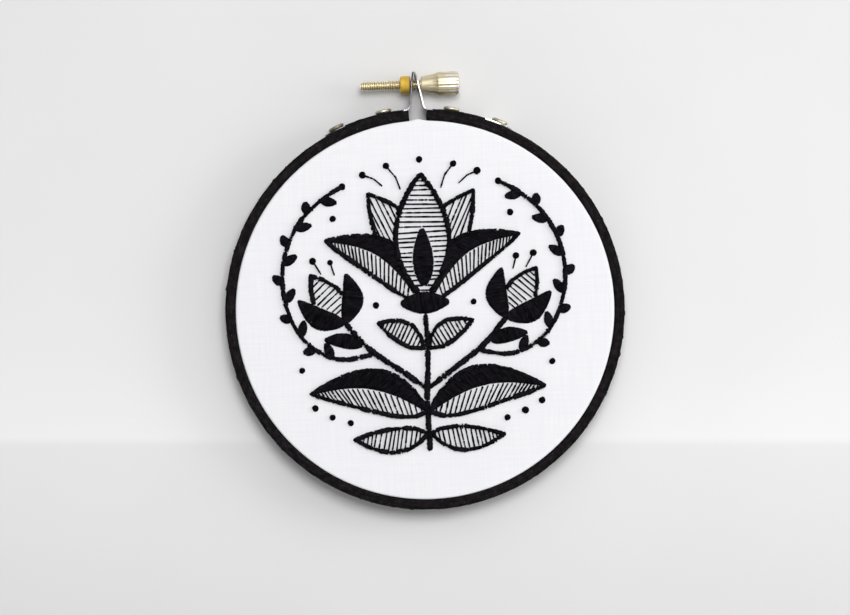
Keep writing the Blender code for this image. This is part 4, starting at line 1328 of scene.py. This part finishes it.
def headTree():
    tree, given = newTree("flutedHead", [
        "Start", "End", "Flute Depth", "Flutes Start", "Flutes Full", "Plating Worn To", "Plating Whole From",
        "Widest"], ["Flutes", "Sides", "Steps"], ["Line"])
    rod, share, angle = unitRod(tree, given)
    profile = addNode(tree, "ShaderNodeFloatCurve", inputs={"Value": share})
    low, high = headProfile[0][0], headProfile[-1][0]
    widest = max(radius for _, radius in headProfile)
    curve = profile.mapping.curves[0]
    for distance, radius in headProfile[1:-1]:
        curve.points.new((distance - low) / (high - low), radius / widest)
    curve.points[0].location = (0.0, headProfile[0][1] / widest)
    curve.points[-1].location = (1.0, headProfile[-1][1] / widest)
    for point in curve.points:
        point.handle_type = "VECTOR"
    profile.mapping.update()
    radius = addNode(tree, "ShaderNodeMath", {"operation": "MULTIPLY"}, {0: profile, 1: given["Widest"]})
    x = addNode(tree, "ShaderNodeMapRange", inputs={
        "Value": share, "To Min": given["Start"], "To Max": given["End"]})
    begun = addNode(tree, "ShaderNodeMapRange", {"interpolation_type": "SMOOTHSTEP"}, {
        "Value": x, "From Min": given["Flutes Start"], "From Max": given["Flutes Full"]})
    ridges = addNode(tree, "ShaderNodeMath", {"operation": "MULTIPLY"}, {0: angle, 1: given["Flutes"]})
    wave = addNode(tree, "ShaderNodeMath", {"operation": "COSINE"}, {0: ridges})
    groove = addNode(tree, "ShaderNodeMapRange", {"interpolation_type": "SMOOTHSTEP"}, {
        "Value": wave, "From Min": -1.0, "From Max": screw["grooveEdge"], "To Min": 1.0, "To Max": 0.0})
    groove = addNode(tree, "ShaderNodeMath", {"operation": "MULTIPLY"}, {0: groove, 1: begun})
    # the flutes are marked for the brass's painted shade
    rod = addNode(tree, "GeometryNodeStoreNamedAttribute", numberOnPoints, {
        "Geometry": rod, "Name": "groove", "Value": groove})
    worn = addNode(tree, "ShaderNodeMapRange", inputs={
        "Value": x, "From Min": given["Plating Worn To"], "From Max": given["Plating Whole From"],
        "To Min": 1.0, "To Max": 0.0})
    rod = addNode(tree, "GeometryNodeStoreNamedAttribute", numberOnPoints, {
        "Geometry": rod, "Name": "worn", "Value": worn})
    cut = addNode(tree, "ShaderNodeMath", {"operation": "MULTIPLY"}, {0: groove, 1: given["Flute Depth"]})
    radius = addNode(tree, "ShaderNodeMath", {"operation": "SUBTRACT"}, {0: radius, 1: cut})
    rod = turnedAboutX(tree, rod, share, radius, angle, given["Start"], given["End"], given["Line"])
    closeTree(tree, given, rod)
    return tree


def makeScrew():
    middle, wall = (nut["outerRadius"] + nut["bore"]) / 2 * mm, (nut["outerRadius"] - nut["bore"]) * mm
    piece = growPiece("roundNut", nutTree(), {
        "Ring Radius": middle, "Wall": wall, "Length": nut["length"] * mm, "Chamfer": nut["chamfer"] * mm,
        "Steps": nut["steps"], "Place": screwSpot + Vector((nut["middle"] * mm, 0, 0)),
        "Finish": goldenBrass}, sharpAngle=40)
    fit(piece, "brass", "clamp_nut")
    rod = growPiece("screwThread", threadTree(), {
        "Tip": screw["tip"] * mm, "End": screw["threadEnd"] * mm, "Crest": screw["crest"] * mm,
        "Root": screw["root"] * mm, "Pitch": screw["pitch"] * mm, "Taper": screw["tipTaper"] * mm,
        "Sides": screw["threadSides"], "Steps": screw["threadSteps"], "Line": screwSpot,
        "Finish": threadBrass}, sharpAngle=60)
    fit(rod, "brass", "clamp_screw", body="screw")
    head = growPiece("flutedHead", headTree(), {
        "Start": headProfile[0][0] * mm, "End": headProfile[-1][0] * mm, "Flutes": screw["flutes"],
        "Flute Depth": screw["fluteDepth"] * mm, "Flutes Start": screw["flutesStart"] * mm,
        "Flutes Full": screw["flutesFull"] * mm, "Plating Worn To": screw["wornTo"] * mm,
        "Plating Whole From": screw["wholeFrom"] * mm,
        "Widest": max(radius for _, radius in headProfile) * mm, "Sides": screw["headSides"],
        "Steps": screw["headSteps"], "Line": screwSpot, "Finish": paleBrass}, sharpAngle=45)
    fit(head, "pale_brass", "clamp_screw", body="screw")


makeHoops()
clothPiece, flatRadius = stretchCloth()
drawDesign()
embroidery = [*sewThreads(), tieKnots()]
makePlates()
setRivets()
makeScrew()
print("pieces made")
